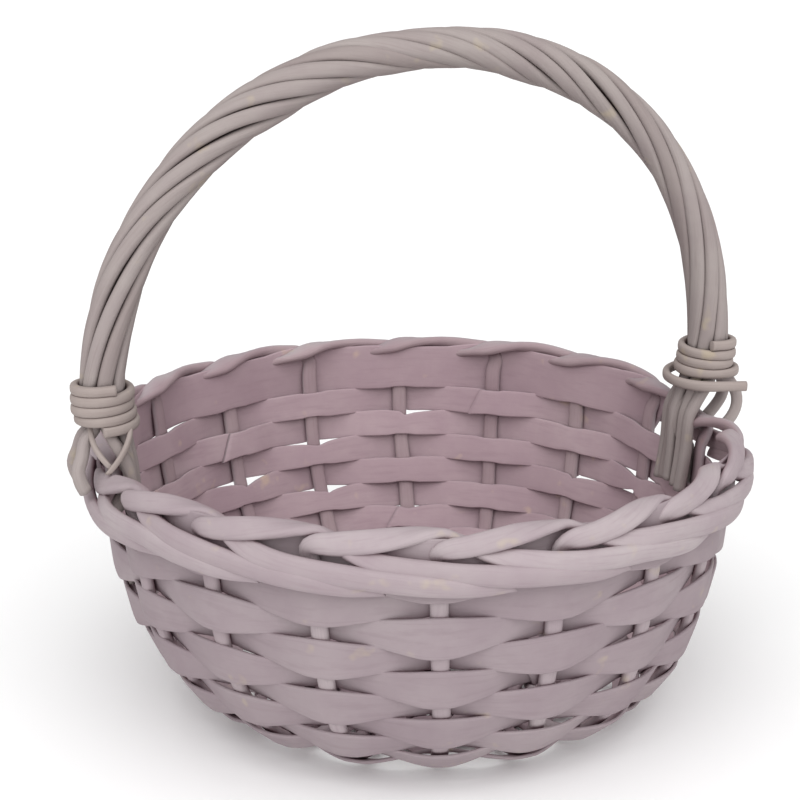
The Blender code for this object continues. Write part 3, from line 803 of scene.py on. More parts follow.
@dataclass(frozen=True)
class SplitRows:
    """Rows of split willow, in and out between the stakes: nine rings, and two lengths above them.

    Attributes:
        bowl: The wall that they are woven in.
        stakes: The stakes that they bend round.
        width_shares: How wide a row is, from where it passes a stake on the inside (-1), by where it crosses the
            wall's middle (0), to where it passes a stake on the outside (1): the place, then the width in millimetres.
        slit_places: Where light shows between two rows: the upper row, the stake, and how far the two rows draw
            apart in millimetres just before the stake and just after it.
        slit_reach: How far a slit runs from its stake, in stake spacings.
        straightness: How straight a row runs from stake to stake: 0 is a wave, 1 is straight.
        lap_reach: How far before its end a ring's end goes inside, in laps.
        shingle: How much further out a row's lower edge lies than its upper one, outside a stake.
        slants: How the two cuts lean.
        top_strips: The lengths above the rings: the node, the first stake and the last.
    """

    bowl: Bowl
    stakes: Stakes
    count: int = 9
    top_extra: float = 0.0086
    top_raise: float = 0.0043
    thickness: float = 0.0016
    pitch: float = 0.0116
    top_row_drop: float = 0.0215
    clearance: float = 0.0001
    joint_lap: float = 0.0150
    shingle: float = 0.0005
    steps_a_stake: int = 16
    slit_reach: float = 0.42
    straightness: float = 0.6
    lap_reach: float = 2.2
    slants: tuple[float, float] = (0.5, 0.5)
    top_strips: tuple[tuple[str, int, int], ...] = (("top_strip_back", 1, 9), ("top_strip_front", 10, 17))
    climb: Wander = Wander(0.7 * MILLIMETRE, (3.3, 7.1, 12.7))
    unevenness: Wander = Wander(0.05, (5.3, 11.9, 19.3))
    width_shares: tuple[tuple[float, float], ...] = (
        (-1.00, 11.4), (-0.80, 12.6), (-0.40, 12.5), (0.00, 12.2), (0.50, 14.6), (0.85, 16.3), (1.00, 16.6),
    )
    slit_places: tuple[tuple[int, int, float, float], ...] = (
        (0, 4, 1.6, 0.0),
        (1, 5, 2.4, 1.8),
        (1, 1, 1.5, 1.5),
        (2, 6, 3.4, 1.2),
        (2, 2, 1.8, 0.0),
        (2, 1, 0.5, 4.6),
        (3, 5, 4.2, 1.2),
        (4, 4, 2.6, 2.6),
    )

    @property
    def reach(self) -> float:
        """How far the middle of a row lies from the wall's middle where it passes a stake."""
        return self.stakes.wall_depth / 2 + self.clearance + self.thickness / 2

    def supports(self, row: int, radius: float, level: float) -> list[tuple[float, float, int]]:
        """What a row bends round, in order.

        Args:
            row: The row, from 0 at the top ring, or -1 for the lengths above it.
            radius: The wall's radius there.
            level: Its level there.

        Returns:
            The angle where each upright starts and ends, and the side that the row passes it on.
        """
        half = self.stakes.diameter / 2 / radius
        found = []
        for number in range(self.bowl.stake_count):
            angle = self.bowl.stake_angle(number)
            beside = row >= 0 and self.bowl.is_beside_bow(number) and level > self.bowl.bow_tip_level - self.pitch / 2
            end = angle - self.bowl.first_stake if beside else angle
            found.append((angle - half, end + half, 1 if (number + row) % 2 == 0 else -1))
        return found

    def place_at(self, supports: list[tuple[float, float, int]], angles: np.ndarray) -> np.ndarray:
        """Where a row is between a stake that it passes inside (-1) and one that it passes outside (1).

        Args:
            supports: What the row bends round.
            angles: Directions along it.

        Returns:
            One value a direction.
        """
        places = np.zeros_like(angles)
        count = len(supports)
        for lap in (-1, 0, 1, 2):
            for number in range(count):
                start, end, side = supports[number]
                following = supports[(number + 1) % count][0] + (math.tau if number + 1 == count else 0.0)
                start, end, following = (a + lap * math.tau for a in (start, end, following))
                places[(angles >= start) & (angles <= end)] = side
                between = (angles > end) & (angles < following)
                places[between] = side * (1 - 2 * (angles[between] - end) / (following - end))
        return places

    @property
    def overlap(self) -> float:
        """How far two neighbouring rows lap over each other at a stake."""
        return (self.width_shares[0][1] + self.width_shares[-1][1]) / 2 * MILLIMETRE - self.pitch

    def bites(self, row: int, angles: np.ndarray) -> tuple[np.ndarray, np.ndarray]:
        """How far the slits bite into a row.

        Args:
            row: The row.
            angles: Directions along it.

        Returns:
            Two arrays of lengths: at the upper edge and at the lower one.
        """
        bites = [np.zeros_like(angles), np.zeros_like(angles)]
        for upper, stake, before, after in self.slit_places:
            off = (np.mod(angles - self.bowl.stake_angle(stake) + math.pi, math.tau) - math.pi) / self.bowl.stake_step
            opening = np.where(off < 0, before, after) * MILLIMETRE
            height = np.where(opening > 0, opening + self.overlap, 0.0)
            wedge = np.clip(1 - np.abs(off) / self.slit_reach, 0, 1) * height / 2
            if row in (upper, upper + 1):
                bites[1 if row == upper else 0] += wedge
        return bites[0], bites[1]

    def strip(
        self, name: str, row: int, arc: float, start: float, end: float, lapped: bool = False
    ) -> bpy.types.Object:
        """One length of split willow.

        Args:
            name: The piece's name.
            row: The row.
            arc: The row's distance along the wall.
            start: The angle where it starts.
            end: The angle where it ends.
            lapped: Whether its end lies over its start, on the inside.

        Returns:
            The object.
        """
        (radius, level), = self.bowl.at_arc(arc)[0]
        count = round((end - start) / self.bowl.stake_step * self.steps_a_stake)
        angles = np.linspace(start, end, count + 1)
        places = self.place_at(self.supports(row, radius, level), angles)
        sides = self.straightness * places + (1 - self.straightness) * np.sin(math.pi / 2 * places)
        shares = angles / math.tau
        widths = read_off(places, self.width_shares) * MILLIMETRE
        if row < 0:
            widths = widths + self.top_extra
        widths = widths * (1 + self.unevenness.along(shares, Seed.ROW_WIDTH + row))
        upper_bite, lower_bite = self.bites(row, angles)
        widths = widths - upper_bite - lower_bite
        arcs = arc + self.climb.along(shares, Seed.ROW_CLIMB + row) + (lower_bite - upper_bite) / 2
        offset = sides * self.reach
        if lapped:
            lap = self.joint_lap / radius
            covered = eased((angles - (end - self.lap_reach * lap)) / lap)
            offset = offset - covered * (self.thickness + self.clearance)
        middles, outs = self.bowl.at_arc(arcs)
        radii = middles[:, 0] + outs[:, 0] * offset
        levels = middles[:, 1] + outs[:, 1] * offset
        path = self.bowl.place(radii, angles, levels)
        tilt = self.shingle / widths.mean() * 2 * np.clip(sides, 0, 1)
        out_radial = outs[:, 0] + outs[:, 1] * tilt
        out_up = outs[:, 1] + outs[:, 0] * tilt
        outwards = unit(np.column_stack([out_radial * np.cos(angles), out_radial * np.sin(angles), out_up]))
        depths = np.full(len(path), self.thickness)
        return sweep(name, path, square_to(path, outwards), widths, depths, Section.SPLIT, self.slants)

    def build(self, workshop: Workshop) -> None:
        """Makes the rings and the two lengths above them.

        Args:
            workshop: Where they go.
        """
        top_arc = self.bowl.arc_at(self.bowl.rim_level - self.top_row_drop)
        for row in range(self.count):
            arc = top_arc - row * self.pitch
            (radius, level), = self.bowl.at_arc(arc)[0]
            supports = self.supports(row, radius, level)
            inner = [number for number, support in enumerate(supports) if support[2] < 0]
            joint_stake = inner[(2 * row + 1) * len(inner) // self.count % len(inner)]
            joint = (supports[joint_stake][0] + supports[joint_stake][1]) / 2
            half_lap = self.joint_lap / 2 / radius
            piece = self.strip(f"split_row_{row + 1}", row, arc, joint - half_lap, joint + math.tau + half_lap, True)
            workshop.seat(piece, STRIP_PAINT, f"wall_strip_{row + 1}")
        arc = top_arc + self.pitch + self.top_raise
        for name, first, last in self.top_strips:
            start, end = self.bowl.stake_angle(first), self.bowl.stake_angle(last)
            half = self.stakes.diameter / self.bowl.rim_radius
            piece = self.strip(f"split_{name}", -1, arc, start - half, end + half)
            workshop.seat(piece, STRIP_PAINT, name)


@dataclass(frozen=True)
class Base:
    """The base: sticks crossed four over five and fanned out, and two rods woven round between them."""

    bowl: Bowl
    stakes: Stakes
    stick_width: float = 0.0044
    stick_depth: float = 0.0040
    stick_size: float = 0.0042
    stick_end: float = 0.0725
    slath_pitch: float = 0.0047
    slath_half: float = 0.0145
    fan_radius: float = 0.027
    spoke_lag: float = 0.0056
    wide_count: int = 5
    narrow_count: int = 4
    clearance: float = 0.0003
    weaver_size: float = 0.0034
    weaver_width: float = 0.0048
    weaver_start: float = 0.034
    weaver_end: float = 0.0705
    weaver_turns: float = 3.5
    weaver_count: int = 2
    weaver_step: float = 2.0 * MILLIMETRE
    unevenness: Wander = Wander(0.08, (3.1, 9.7, 17.3))

    def spoke(self, index: float) -> float:
        """The direction of a spoke of the base, just behind its stake."""
        return self.bowl.stake_angle(index) - self.spoke_lag / self.stakes.butt_start

    def point(self, x: float, y: float, lift: float) -> list[float]:
        """A point of the base at a place in its own middle's frame, lifted from its middle surface."""
        return [x + self.bowl.base_drift, y, float(self.bowl.floor_at(np.hypot(x, y))) + lift]

    def half_stick(self, across: float, direction: float, lift: float) -> list[list[float]]:
        """Half of a base stick, from the middle of the cross out to a spoke's direction.

        Args:
            across: How far it lies from the middle of its group.
            direction: The way that it points in the end, from the cross's own direction.
            lift: How far its group lies above or below the base's middle.

        Returns:
            Its points.
        """
        zero = self.spoke(0) + self.bowl.stake_step / 2
        heading = zero + direction
        group = zero + round(direction / (math.pi / 2)) * math.pi / 2
        ahead = np.array([math.cos(group), math.sin(group)])
        aside = np.array([-math.sin(group), math.cos(group)])
        points = [self.point(*(ahead * along + aside * across), lift) for along in (0.0, self.slath_half)]
        for radius in (self.fan_radius, (self.fan_radius + self.stick_end) / 2, self.stick_end):
            points.append(self.point(radius * math.cos(heading), radius * math.sin(heading), 0.0))
        return points

    def weaver_knots(self, number: int) -> np.ndarray:
        """The spiral of one base weaver, over and under the spokes by turns, and the stake's butt beside each.

        Args:
            number: The weaver, from 0.

        Returns:
            Rows of x, y and z.
        """
        sway = self.stick_size / 2 + self.clearance + self.weaver_size / 2
        knots = []
        spokes = round(self.weaver_turns * self.bowl.stake_count)
        spread = self.weaver_end - self.weaver_start
        start = self.weaver_start + (number - 0.5) * spread / self.weaver_turns / self.weaver_count
        for count in range(spokes + 1):
            radius = start + spread * count / spokes
            side = 1 if (count + number) % 2 else -1
            behind = self.spoke(count) - self.stick_size / 2 / radius
            ahead = self.spoke(count) + self.stick_size / 2 / radius
            if radius > self.stakes.butt_start - self.stick_size:
                ahead = self.bowl.stake_angle(count) + self.stakes.butt_diameter / 2 / radius
            for angle in (behind, ahead):
                knots.append(self.point(radius * math.cos(angle), radius * math.sin(angle), side * sway))
        return np.array(knots)

    def rod(self, name: str, line: np.ndarray, width: float, depth: float, seed: int) -> bpy.types.Object:
        """A base rod along a line, lying with its broad face up.

        Args:
            name: The piece's name.
            line: Its middle.
            width: Its width.
            depth: Its height.
            seed: The seed of its unevenness.

        Returns:
            The object.
        """
        swell = 1 + self.unevenness.along(np.linspace(0, 1, len(line)), seed)
        return sweep(name, line, square_to(line, UP), width * swell, depth * swell, Section.PRESSED)

    def build(self, workshop: Workshop) -> None:
        """Makes the sticks and the weavers.

        Args:
            workshop: Where they go.
        """
        layers = ((self.wide_count, math.pi / 2, -1), (self.narrow_count, 0.0, 1))
        number = 0
        for count, heading, layer in layers:
            lift = layer * (self.stick_size + self.clearance) / 2
            for index in range(count):
                number += 1
                place_in_row = index - (count - 1) / 2
                across = -place_in_row * self.slath_pitch
                turn = place_in_row * self.bowl.stake_step
                one = self.half_stick(-across, heading + turn, lift)
                other = self.half_stick(across, heading + math.pi - turn, lift)
                line = smooth_line(np.array(other[:0:-1] + one[1:]), COARSE_STEP)
                name = f"base_stick_{number}"
                seed = Seed.BASE_STICK + number
                piece = self.rod(f"willow_{name}", line, self.stick_width, self.stick_depth, seed)
                workshop.seat(piece, BASE_PAINT, name)
        for number in range(self.weaver_count):
            line = smooth_line(self.weaver_knots(number), self.weaver_step, per_span=6)
            name = f"base_weaver_{number + 1}"
            seed = Seed.BASE_WEAVER + number
            piece = self.rod(f"willow_{name}", line, self.weaver_width, self.weaver_size, seed)
            for corner in piece.data.vertices:
                corner.co.z = max(corner.co.z, 0.0)
            workshop.seat(piece, BASE_PAINT, name)


# The handle


@dataclass(frozen=True)
class Handle:
    """The hoop: a bow with seven rods twisted round it, spread out at both feet, and a thin rod wound round each end.

    Attributes:
        bulge_places: Where the rods stand closer to the bow or further from it: a place along the hoop, and how much
            further in millimetres.
        bow_foot_shares: The bow below the collar, one row a level: up from the rim line, then outwards from the
            middle of the wall, both in rod diameters.
        bow_tip_shares: The points of each tip below that, as shares of the way down to its end.
        left_outer_shares: The outermost rods at the left, as above, then how far each stands to the side of the bow,
            in rod diameters. The tables after it are those of the other rods.
        narrow_shares: How wide a rod is, as a share of its width, at places along it.
        bulge_smoothing: Over how many steps of the hoop, either way, the bulges are smoothed.
        steps_a_turn: How many points a turn of the winding has.
        tail_places: The tails: the angles round the bow where each starts and ends, in degrees, and its drop in
            millimetres.
        tail_taper: How much thinner a tail's end is than its start.
        tail_flatness: Its depth as a share of its width.
        tail_slants: How its two cuts lean.
    """

    bowl: Bowl
    collar_rise: float = 0.019
    spring_rise: float = 0.008
    right_lean: float = 0.0035
    left_shoulder_inset: float = 0.0061
    left_shoulder_rise: float = 0.1716
    right_shoulder_outset: float = 0.0023
    right_shoulder_rise: float = 0.1844
    bow_diameter: float = 0.0066
    bow_foot_diameter: float = 0.0050
    bow_tip_diameter: float = 0.0026
    bow_tip_shares: tuple[float, ...] = (0.5, 1.0)
    rod_count: int = 7
    rod_size: float = 0.0050
    rod_width: float = 0.0065
    tail_size: float = 0.0030
    tail_taper: float = 0.3
    tail_flatness: float = 0.8
    tail_slants: tuple[float, float] = (0.4, 0.8)
    tail_points: int = 5
    tail_places: tuple[tuple[float, float, float], ...] = ((14, 84, 15.0), (140, 78, 16.0))
    narrow_shares: tuple[tuple[float, float], ...] = (
        (0.00, 1.00), (0.10, 0.94), (0.16, 0.86), (0.30, 0.86), (0.40, 0.97), (0.56, 0.99), (0.63, 0.86), (0.72, 0.88),
        (0.80, 0.98), (1.00, 1.00),
    )
    circle_radius: float = 0.00635
    twist_sevenths: int = 17
    twist_ease_share: float = 0.35
    wrap_size: float = 0.0036
    wrap_width: float = 0.0043
    wrap_depth: float = 0.0034
    wrap_gap: float = 0.00045
    turns_left: int = 4
    turns_right: int = 3
    loose_drop: float = 0.0044
    loose_swell: float = 0.0044
    loose_swell_share: float = 0.25
    loose_end: float = 0.013
    clearance: float = 0.0003
    arch_steps: int = 150
    bow_points: int = 25
    bulge_smoothing: int = 6
    steps_a_turn: int = 32
    drift: Wander = Wander(math.radians(13.0), (1.3, 2.7, 4.9))
    lift: Wander = Wander(0.7 * MILLIMETRE, (2.3, 5.1))
    swelling: Wander = Wander(0.09, (2.3, 5.9, 13.1))
    bulge_places: tuple[tuple[float, float], ...] = (
        (0.00, 0.0), (0.10, 0.5), (0.15, -0.4), (0.24, 0.5), (0.32, 1.2), (0.40, 0.1), (0.50, -0.7), (0.56, -0.5),
        (0.63, 0.7), (0.68, 0.8), (0.76, -0.4), (0.82, -0.5), (0.90, -0.2), (1.00, 0.0),
    )
    bow_foot_shares: tuple[tuple[float, float], ...] = (
        (3.41, -0.39), (1.99, -0.90), (0.39, -1.50), (-1.57, -1.50), (-2.30, -1.00), (-2.96, -0.45), (-3.67, 0.04),
    )
    left_outer_shares: tuple[tuple[float, float, float], ...] = (
        (2.75, 1.71, 0.80), (1.57, 2.20, 1.20), (0.53, 2.69, 1.45), (-0.39, 2.63, 1.60), (-1.18, 2.32, 1.60),
    )
    right_outer_shares: tuple[tuple[float, float, float], ...] = (
        (2.75, 2.12, 0.80), (1.57, 3.06, 1.20), (0.53, 3.32, 1.45), (-0.39, 2.99, 1.60), (-1.18, 2.32, 1.60),
    )
    side_shares: tuple[tuple[float, float, float], ...] = (
        (2.88, -0.31, 1.60), (1.97, -0.72, 1.80), (1.05, -1.06, 1.92), (0.13, -1.24, 1.98), (-3.27, -1.30, 2.00),
        (-6.60, -1.45, 2.00),
    )
    inner_shares: tuple[tuple[float, float, float], ...] = (
        (2.88, -1.18, 1.00), (1.97, -1.24, 1.03), (1.05, -1.32, 1.06), (0.13, -1.36, 1.08), (-3.27, -1.38, 1.10),
        (-6.40, -1.50, 1.10),
    )
    middle_shares: tuple[tuple[float, float, float], ...] = (
        (2.88, -1.62, 0.00), (1.97, -1.68, 0.00), (1.05, -1.76, 0.00), (0.13, -1.80, 0.00), (-1.70, -1.80, 0.00),
        (-3.41, -1.72, 0.00), (-6.20, -1.66, 0.00),
    )

    @property
    def collar_level(self) -> float:
        """The level of the collar's foot."""
        return self.bowl.rim_level + self.collar_rise

    @property
    def spring_level(self) -> float:
        """The level where the hoop leaves the collars."""
        return self.collar_level + self.spring_rise

    def spring(self, end: End) -> float:
        """Where along X the hoop leaves an end's collar."""
        return end.value * self.bowl.rim_radius + (self.right_lean if end is End.RIGHT else 0.0)

    @cached_property
    def corners(self) -> list[np.ndarray]:
        """The two springs of the hoop and the two points that pull it into its shape.

        Returns:
            Four rows of x and z, from left to right.
        """
        left, right = self.spring(End.LEFT), self.spring(End.RIGHT)
        return [
            np.array([left, self.spring_level]),
            np.array([left + self.left_shoulder_inset, self.spring_level + self.left_shoulder_rise]),
            np.array([right + self.right_shoulder_outset, self.spring_level + self.right_shoulder_rise]),
            np.array([right, self.spring_level]),
        ]

    def arch(self, shares: np.ndarray) -> tuple[np.ndarray, np.ndarray]:
        """The hoop's middle line from the left spring to the right one, and the way out there.

        Args:
            shares: Places along the hoop, from 0 to 1.

        Returns:
            Two arrays of x, y and z rows.
        """
        flat = bezier(shares, self.corners)
        along = unit(bezier(shares, np.diff(self.corners, axis=0)))
        nothing = np.zeros(len(shares))
        return np.column_stack([flat[:, 0], nothing, flat[:, 1]]), np.column_stack([-along[:, 1], nothing, along[:, 0]])

    def foot_point(self, end: End, up_share: float, out_share: float, aside: float) -> np.ndarray:
        """A point below the collar's foot. It leans out with the handle's end, and less the lower it is.

        Args:
            end: The handle's end.
            up_share: How far up it is from the rim line, in rod diameters.
            out_share: How far out it is from the middle of the wall, in rod diameters.
            aside: How far it stands to the side of the bow, towards the front.

        Returns:
            The point.
        """
        lean = abs(self.spring(end)) - self.bowl.rim_radius
        level = self.bowl.rim_level + up_share * self.rod_size
        above = max(0.0, level - self.bowl.rim_level) / self.collar_rise
        pull = float(self.bowl.pull_at(0.0, level))
        radius = self.bowl.radius_at(level) + out_share * self.rod_size
        radius += lean * above - self.bowl.rim_pull * pull * (1 - above)
        angle = aside / radius
        x = end.value * radius * math.cos(angle) + float(self.bowl.drift_at(level))
        return np.array([x, -radius * math.sin(angle), level])

    def collar_point(self, end: End, turn: float, reach: float, level: float) -> np.ndarray:
        """A point round the bow between the spring and the collar's foot.

        Args:
            end: The handle's end.
            turn: The angle round the bow, from its outer side towards the front.
            reach: The distance from the bow's middle.
            level: The height above the floor.

        Returns:
            The point.
        """
        top_share = self.collar_rise / self.rod_size
        foot = self.foot_point(end, top_share, self.bow_foot_shares[0][1], 0.0)[0]
        share = min(1.0, max(0.0, (self.spring_level - level) / self.spring_rise))
        centre = self.spring(end) + (foot - self.spring(end)) * share
        return np.array([centre + end.value * reach * math.cos(turn), -reach * math.sin(turn), level])

    def build_bow(self, workshop: Workshop) -> None:
        """Makes the bow, which lies inside the rods.

        Args:
            workshop: Where it goes.
        """
        knots: list[list[float]] = []
        for end in End:
            foot = [
                [*self.foot_point(end, up_share, out_share, 0.0), self.bow_diameter]
                for up_share, out_share in self.bow_foot_shares
            ]
            foot[-1][3] = self.bow_foot_diameter
            entry = foot[-1][2]
            for share in self.bow_tip_shares:
                level = entry + (self.bowl.bow_tip_level - entry) * share
                pull = float(self.bowl.pull_at(0.0, level))
                radius = self.bowl.radius_at(level + self.bowl.rim_dip * pull) - self.bowl.rim_pull * pull
                diameter = self.bow_foot_diameter + (self.bow_tip_diameter - self.bow_foot_diameter) * share
                foot.append([end.value * radius + float(self.bowl.drift_at(level)), 0.0, level, diameter])
            if end is End.LEFT:
                centres, _ = self.arch(np.linspace(0, 1, self.bow_points))
                knots = foot[::-1] + [[*centre, self.bow_diameter] for centre in centres]
            else:
                knots += foot
        line = smooth_line(np.array(knots), COARSE_STEP)
        piece = sweep("willow_bow", line[:, :3], BACK, line[:, 3], line[:, 3], Section.ROUND)
        workshop.seat(piece, HANDLE_PAINT, "handle_bow")

    def turn_at(self, number: int, shares: np.ndarray) -> np.ndarray:
        """How far round the bow a rod is, from the bow's outer side towards the front.

        Args:
            number: The rod, from 0.
            shares: Places along the hoop, from 0 to 1.

        Returns:
            One angle a place.
        """
        slot = (number + 0.5) * math.tau / self.rod_count
        twisted = shares - self.twist_ease_share * np.sin(math.tau * shares) / math.tau
        return slot + twisted * self.twist_sevenths * math.tau / self.rod_count

    def foot_of(self, number: int, end: End) -> list[np.ndarray]:
        """A rod below the collar, spread out from the others: on to the border or down its inside.

        Args:
            number: The rod, from 0.
            end: The handle's end.

        Returns:
            Its points, from the collar down.
        """
        moved = 0 if end is End.LEFT else self.twist_sevenths
        slot = (number + moved) % self.rod_count
        opposite = self.rod_count - 1 - slot
        outer = self.left_outer_shares if end is End.LEFT else self.right_outer_shares
        table = (outer, self.side_shares, self.inner_shares, self.middle_shares)[min(slot, opposite)]
        return [
            self.foot_point(end, up_share, out_share, math.copysign(aside * self.rod_size, opposite - slot))
            for up_share, out_share, aside in table
        ]

    def build_rods(self, workshop: Workshop) -> None:
        """Makes the seven twisted rods.

        Args:
            workshop: Where they go.
        """
        shares = np.linspace(0, 1, self.arch_steps + 1)
        centres, outwards = self.arch(shares)
        middle = np.sin(math.pi * shares)
        bulge = np.pad(read_off(shares, self.bulge_places) * MILLIMETRE, self.bulge_smoothing, mode="edge")
        window = np.hanning(2 * self.bulge_smoothing + 3)[1:-1]
        bulge = np.convolve(bulge, window / window.sum(), "valid")
        for number in range(self.rod_count):
            turn = self.turn_at(number, shares) + self.drift.along(shares, Seed.ROD_DRIFT + number) * middle
            way = np.cos(turn)[:, None] * outwards - np.sin(turn)[:, None] * BACK
            radius = self.circle_radius + bulge + self.lift.along(shares, Seed.ROD_LIFT + number) * middle
            arch = centres + radius[:, None] * way
            left = [*self.foot_of(number, End.LEFT)[::-1]]
            left.append(self.collar_point(End.LEFT, float(turn[0]), self.circle_radius, self.collar_level))
            right = [self.collar_point(End.RIGHT, float(turn[-1]), self.circle_radius, self.collar_level)]
            right += self.foot_of(number, End.RIGHT)
            ways = np.vstack([np.tile(way[0], (len(left), 1)), way, np.tile(way[-1], (len(right), 1))])
            pressed = np.concatenate([np.zeros(len(left)), np.ones(len(way)), np.zeros(len(right))])[:, None]
            knots = np.column_stack([np.vstack([left, arch, right]), ways, pressed])
            line = smooth_line(knots, STEP, per_span=4)
            places = np.linspace(0, 1, len(line))
            depths = self.rod_size * (1 + self.swelling.along(places, Seed.ROD_SWELLING + number))
            widths = (1 + (self.rod_width / self.rod_size - 1) * line[:, 6]) * read_off(places, self.narrow_shares)
            across = square_to(line[:, :3], unit(line[:, 3:6]))
            name = f"handle_rod_{number + 1}"
            piece = sweep(f"willow_{name}", line[:, :3], across, depths * widths, depths, Section.PRESSED)
            workshop.seat(piece, HANDLE_PAINT, name)

    def winding_centre(self, end: End, level: float) -> np.ndarray:
        """The middle of the handle at a level, on the hoop or between the spring and the collar's foot.

        Args:
            end: The handle's end.
            level: The height above the floor.

        Returns:
            The point.
        """
        if level <= self.spring_level:
            return self.collar_point(end, 0.0, 0.0, level)
        # A hoop as high as its shoulders at both ends rises by 3 t (1 - t) of them, which is solved here for t
        height = (level - self.spring_level) / self.left_shoulder_rise
        share = (1 - math.sqrt(1 - 4 * height / 3)) / 2
        return self.arch(np.array([share if end is End.LEFT else 1 - share]))[0][0]

    def winding(self, end: End, turns: int, loose: bool) -> np.ndarray:
        """A thin rod wound down the end of the handle.

        Args:
            end: The handle's end.
            turns: How many tight turns it makes.
            loose: Whether a wider turn hangs below the tight ones.

        Returns:
            Its path.
        """
        reach = self.circle_radius + self.rod_size / 2 + self.wrap_size / 2 + self.clearance
        pitch = self.wrap_size + self.wrap_gap
        top = self.collar_level + turns * pitch
        points = []
        for step in range((turns + int(loose)) * self.steps_a_turn + 1):
            turned = step / self.steps_a_turn
            slack = max(0.0, turned - turns)
            level = top - pitch * (turned - slack) - self.loose_drop * slack
            wide = reach + self.loose_swell * min(1.0, slack / self.loose_swell_share)
            around = math.pi / 2 - turned * math.tau
            centre = self.winding_centre(end, level)
            points.append(centre + wide * np.array([end.value * math.cos(around), -math.sin(around), 0.0]))
        first_way = unit(points[0] - points[1])
        last_way = unit(points[-1] - points[-2])
        tail = self.loose_end if loose else self.wrap_size
        return np.array([points[0] + first_way * self.wrap_size, *points, points[-1] + last_way * tail])

    def build_bindings(self, workshop: Workshop) -> None:
        """Makes the winding at each end, and the tails.

        Args:
            workshop: Where they go.
        """
        for end, turns, loose in ((End.LEFT, self.turns_left, False), (End.RIGHT, self.turns_right, True)):
            line = smooth_line(self.winding(end, turns, loose), FINE_STEP, per_span=3)
            seed = Seed.BINDING_SWELLING + int(end.value)
            swell = 1 + self.swelling.along(np.linspace(0, 1, len(line)), seed)
            piece = sweep(
                f"willow_binding_{end.side}", line, UP, self.wrap_width * swell, self.wrap_depth * swell,
                Section.PRESSED,
            )
            workshop.seat(piece, BINDING_PAINT, f"collar_binding_{end.side}")
        self.build_tails(workshop)

    def build_tails(self, workshop: Workshop) -> None:
        """Makes the thin tails that cross below the left winding.

        Args:
            workshop: Where they go.
        """
        reach = self.circle_radius + self.rod_size / 2 + self.wrap_size
        for number, (start, end, drop) in enumerate(self.tail_places):
            points = [
                self.collar_point(
                    End.LEFT, math.radians(start + (end - start) * share),
                    reach + self.tail_size * (number - 2 * (1 - share) ** 2),
                    self.collar_level + self.tail_size * (1 - share) - drop * share * MILLIMETRE,
                )
                for share in np.linspace(0, 1, self.tail_points)
            ]
            line = smooth_line(np.array(points), FINE_STEP)
            widths = self.tail_size * (1 - self.tail_taper * np.linspace(0, 1, len(line)))
            depths = widths * self.tail_flatness
            piece = sweep(f"willow_tail_{number + 1}", line, UP, widths, depths, Section.PRESSED, self.tail_slants)
            workshop.seat(piece, BINDING_PAINT)

    def build(self, workshop: Workshop) -> None:
        """Makes the whole handle.

        Args:
            workshop: Where it goes.
        """
        self.build_bow(workshop)
        self.build_rods(workshop)
        self.build_bindings(workshop)


# The studio


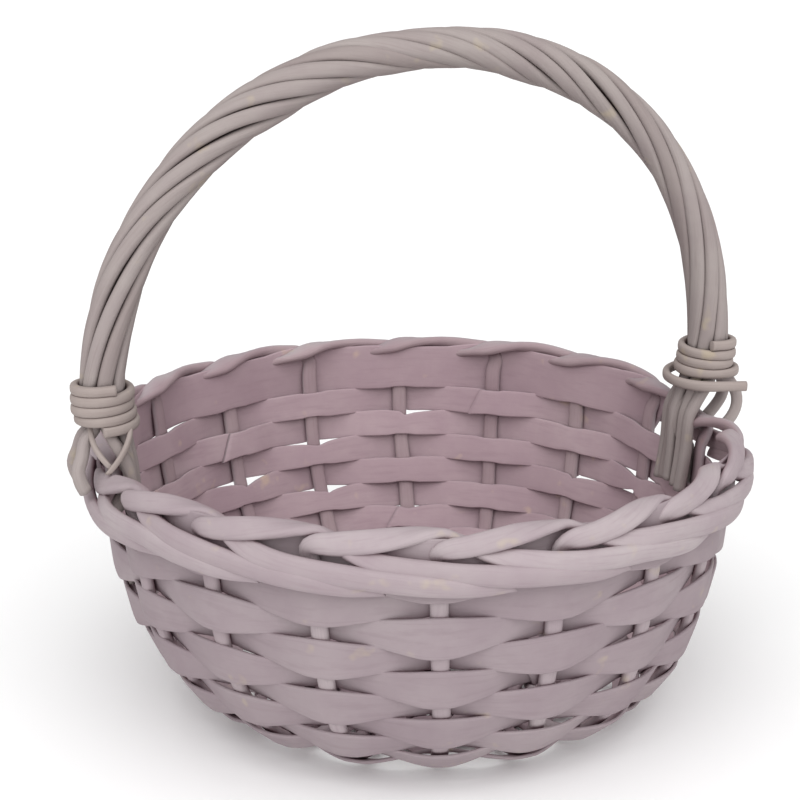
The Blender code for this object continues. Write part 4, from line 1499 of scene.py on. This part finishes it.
@dataclass(frozen=True)
class Studio:
    """A pale floor, soft light and the camera.

    Attributes:
        target: What the camera looks at.
        distance: How far it stands from there.
        azimuth: Its direction from there, from +X.
        elevation: Its height above the floor's plane, as an angle.
        lens: Its focal length in millimetres, on a sensor 36 mm wide.
        shift: How far its picture is moved, as shares of its width.
    """

    target: tuple[float, float, float] = (0.0, 0.0, 0.125)
    distance: float = 0.765
    azimuth: float = math.radians(-108)
    elevation: float = math.radians(17.2)
    lens: float = 82.8
    shift: tuple[float, float] = (-0.0199, 0.0100)
    sensor: float = 36.0
    floor_half: float = 14.0
    floor_colour: str = "FBFBFB"
    floor_roughness: float = 0.9
    sky_colour: str = "FFFFFF"
    sky_strength: float = 0.60
    key_strength: float = 2.5
    key_spread: float = math.radians(80)
    key_azimuth: float = math.radians(-106)
    key_elevation: float = math.radians(46)

    def stand(self, thing: bpy.types.Object, azimuth: float, elevation: float, distance: float) -> None:
        """Stands a lamp or a camera off from the target, turned towards it.

        Args:
            thing: The lamp or the camera.
            azimuth: Its direction from there, from +X.
            elevation: Its height above the floor's plane, as an angle.
            distance: How far it is from there.
        """
        level = math.cos(elevation)
        way = Vector((level * math.cos(azimuth), level * math.sin(azimuth), math.sin(elevation)))
        thing.location = Vector(self.target) + way * distance
        thing.rotation_euler = (-way).to_track_quat("-Z", "Y").to_euler()
        bpy.context.scene.collection.objects.link(thing)

    def build_floor(self) -> None:
        """Makes the floor, a sheet wide enough to fill the picture."""
        mesh = bpy.data.meshes.new("studio_floor")
        shape = bmesh.new()
        bmesh.ops.create_grid(shape, x_segments=2, y_segments=2, size=self.floor_half)
        shape.to_mesh(mesh)
        shape.free()
        floor = bpy.data.objects.new("studio_floor", mesh)
        paint = bpy.data.materials.new("pale_studio_paper")
        paint.use_nodes = True
        shader = paint.node_tree.nodes["Principled BSDF"]
        shader.inputs["Base Color"].default_value = linear(self.floor_colour)
        shader.inputs["Roughness"].default_value = self.floor_roughness
        mesh.materials.append(paint)
        bpy.context.scene.collection.objects.link(floor)

    def build_light(self) -> None:
        """Makes an even sky and one large soft lamp, which shines evenly from about the camera's side, but higher."""
        world = bpy.data.worlds.new("soft_sky")
        world.use_nodes = True
        background = world.node_tree.nodes["Background"]
        background.inputs["Color"].default_value = linear(self.sky_colour)
        background.inputs["Strength"].default_value = self.sky_strength
        bpy.context.scene.world = world
        data = bpy.data.lights.new("key_lamp", "SUN")
        data.angle = self.key_spread
        data.energy = self.key_strength
        self.stand(bpy.data.objects.new("key_lamp", data), self.key_azimuth, self.key_elevation, 1.0)

    def build_camera(self) -> None:
        """Makes the camera at the photograph's viewing angle."""
        data = bpy.data.cameras.new("camera")
        data.sensor_width = self.sensor
        data.lens = self.lens
        data.shift_x, data.shift_y = self.shift
        camera = bpy.data.objects.new("camera", data)
        self.stand(camera, self.azimuth, self.elevation, self.distance)
        bpy.context.scene.camera = camera

    def build(self) -> None:
        """Makes the floor, the light and the camera."""
        self.build_camera()
        self.build_floor()
        self.build_light()
        bpy.context.scene.view_settings.view_transform = "Standard"


def main() -> None:
    """Builds the studio and the basket, and logs how many pieces it made."""
    logging.basicConfig(level=logging.INFO, format="%(name)s: %(message)s")
    Studio().build()
    workshop = Workshop()
    bowl = Bowl()
    stakes = Stakes(bowl)
    for part in (stakes, SplitRows(bowl, stakes), Base(bowl, stakes), Handle(bowl)):
        part.build(workshop)
    logger.info("%d pieces", workshop.made)


if __name__ == "__main__":
    main()
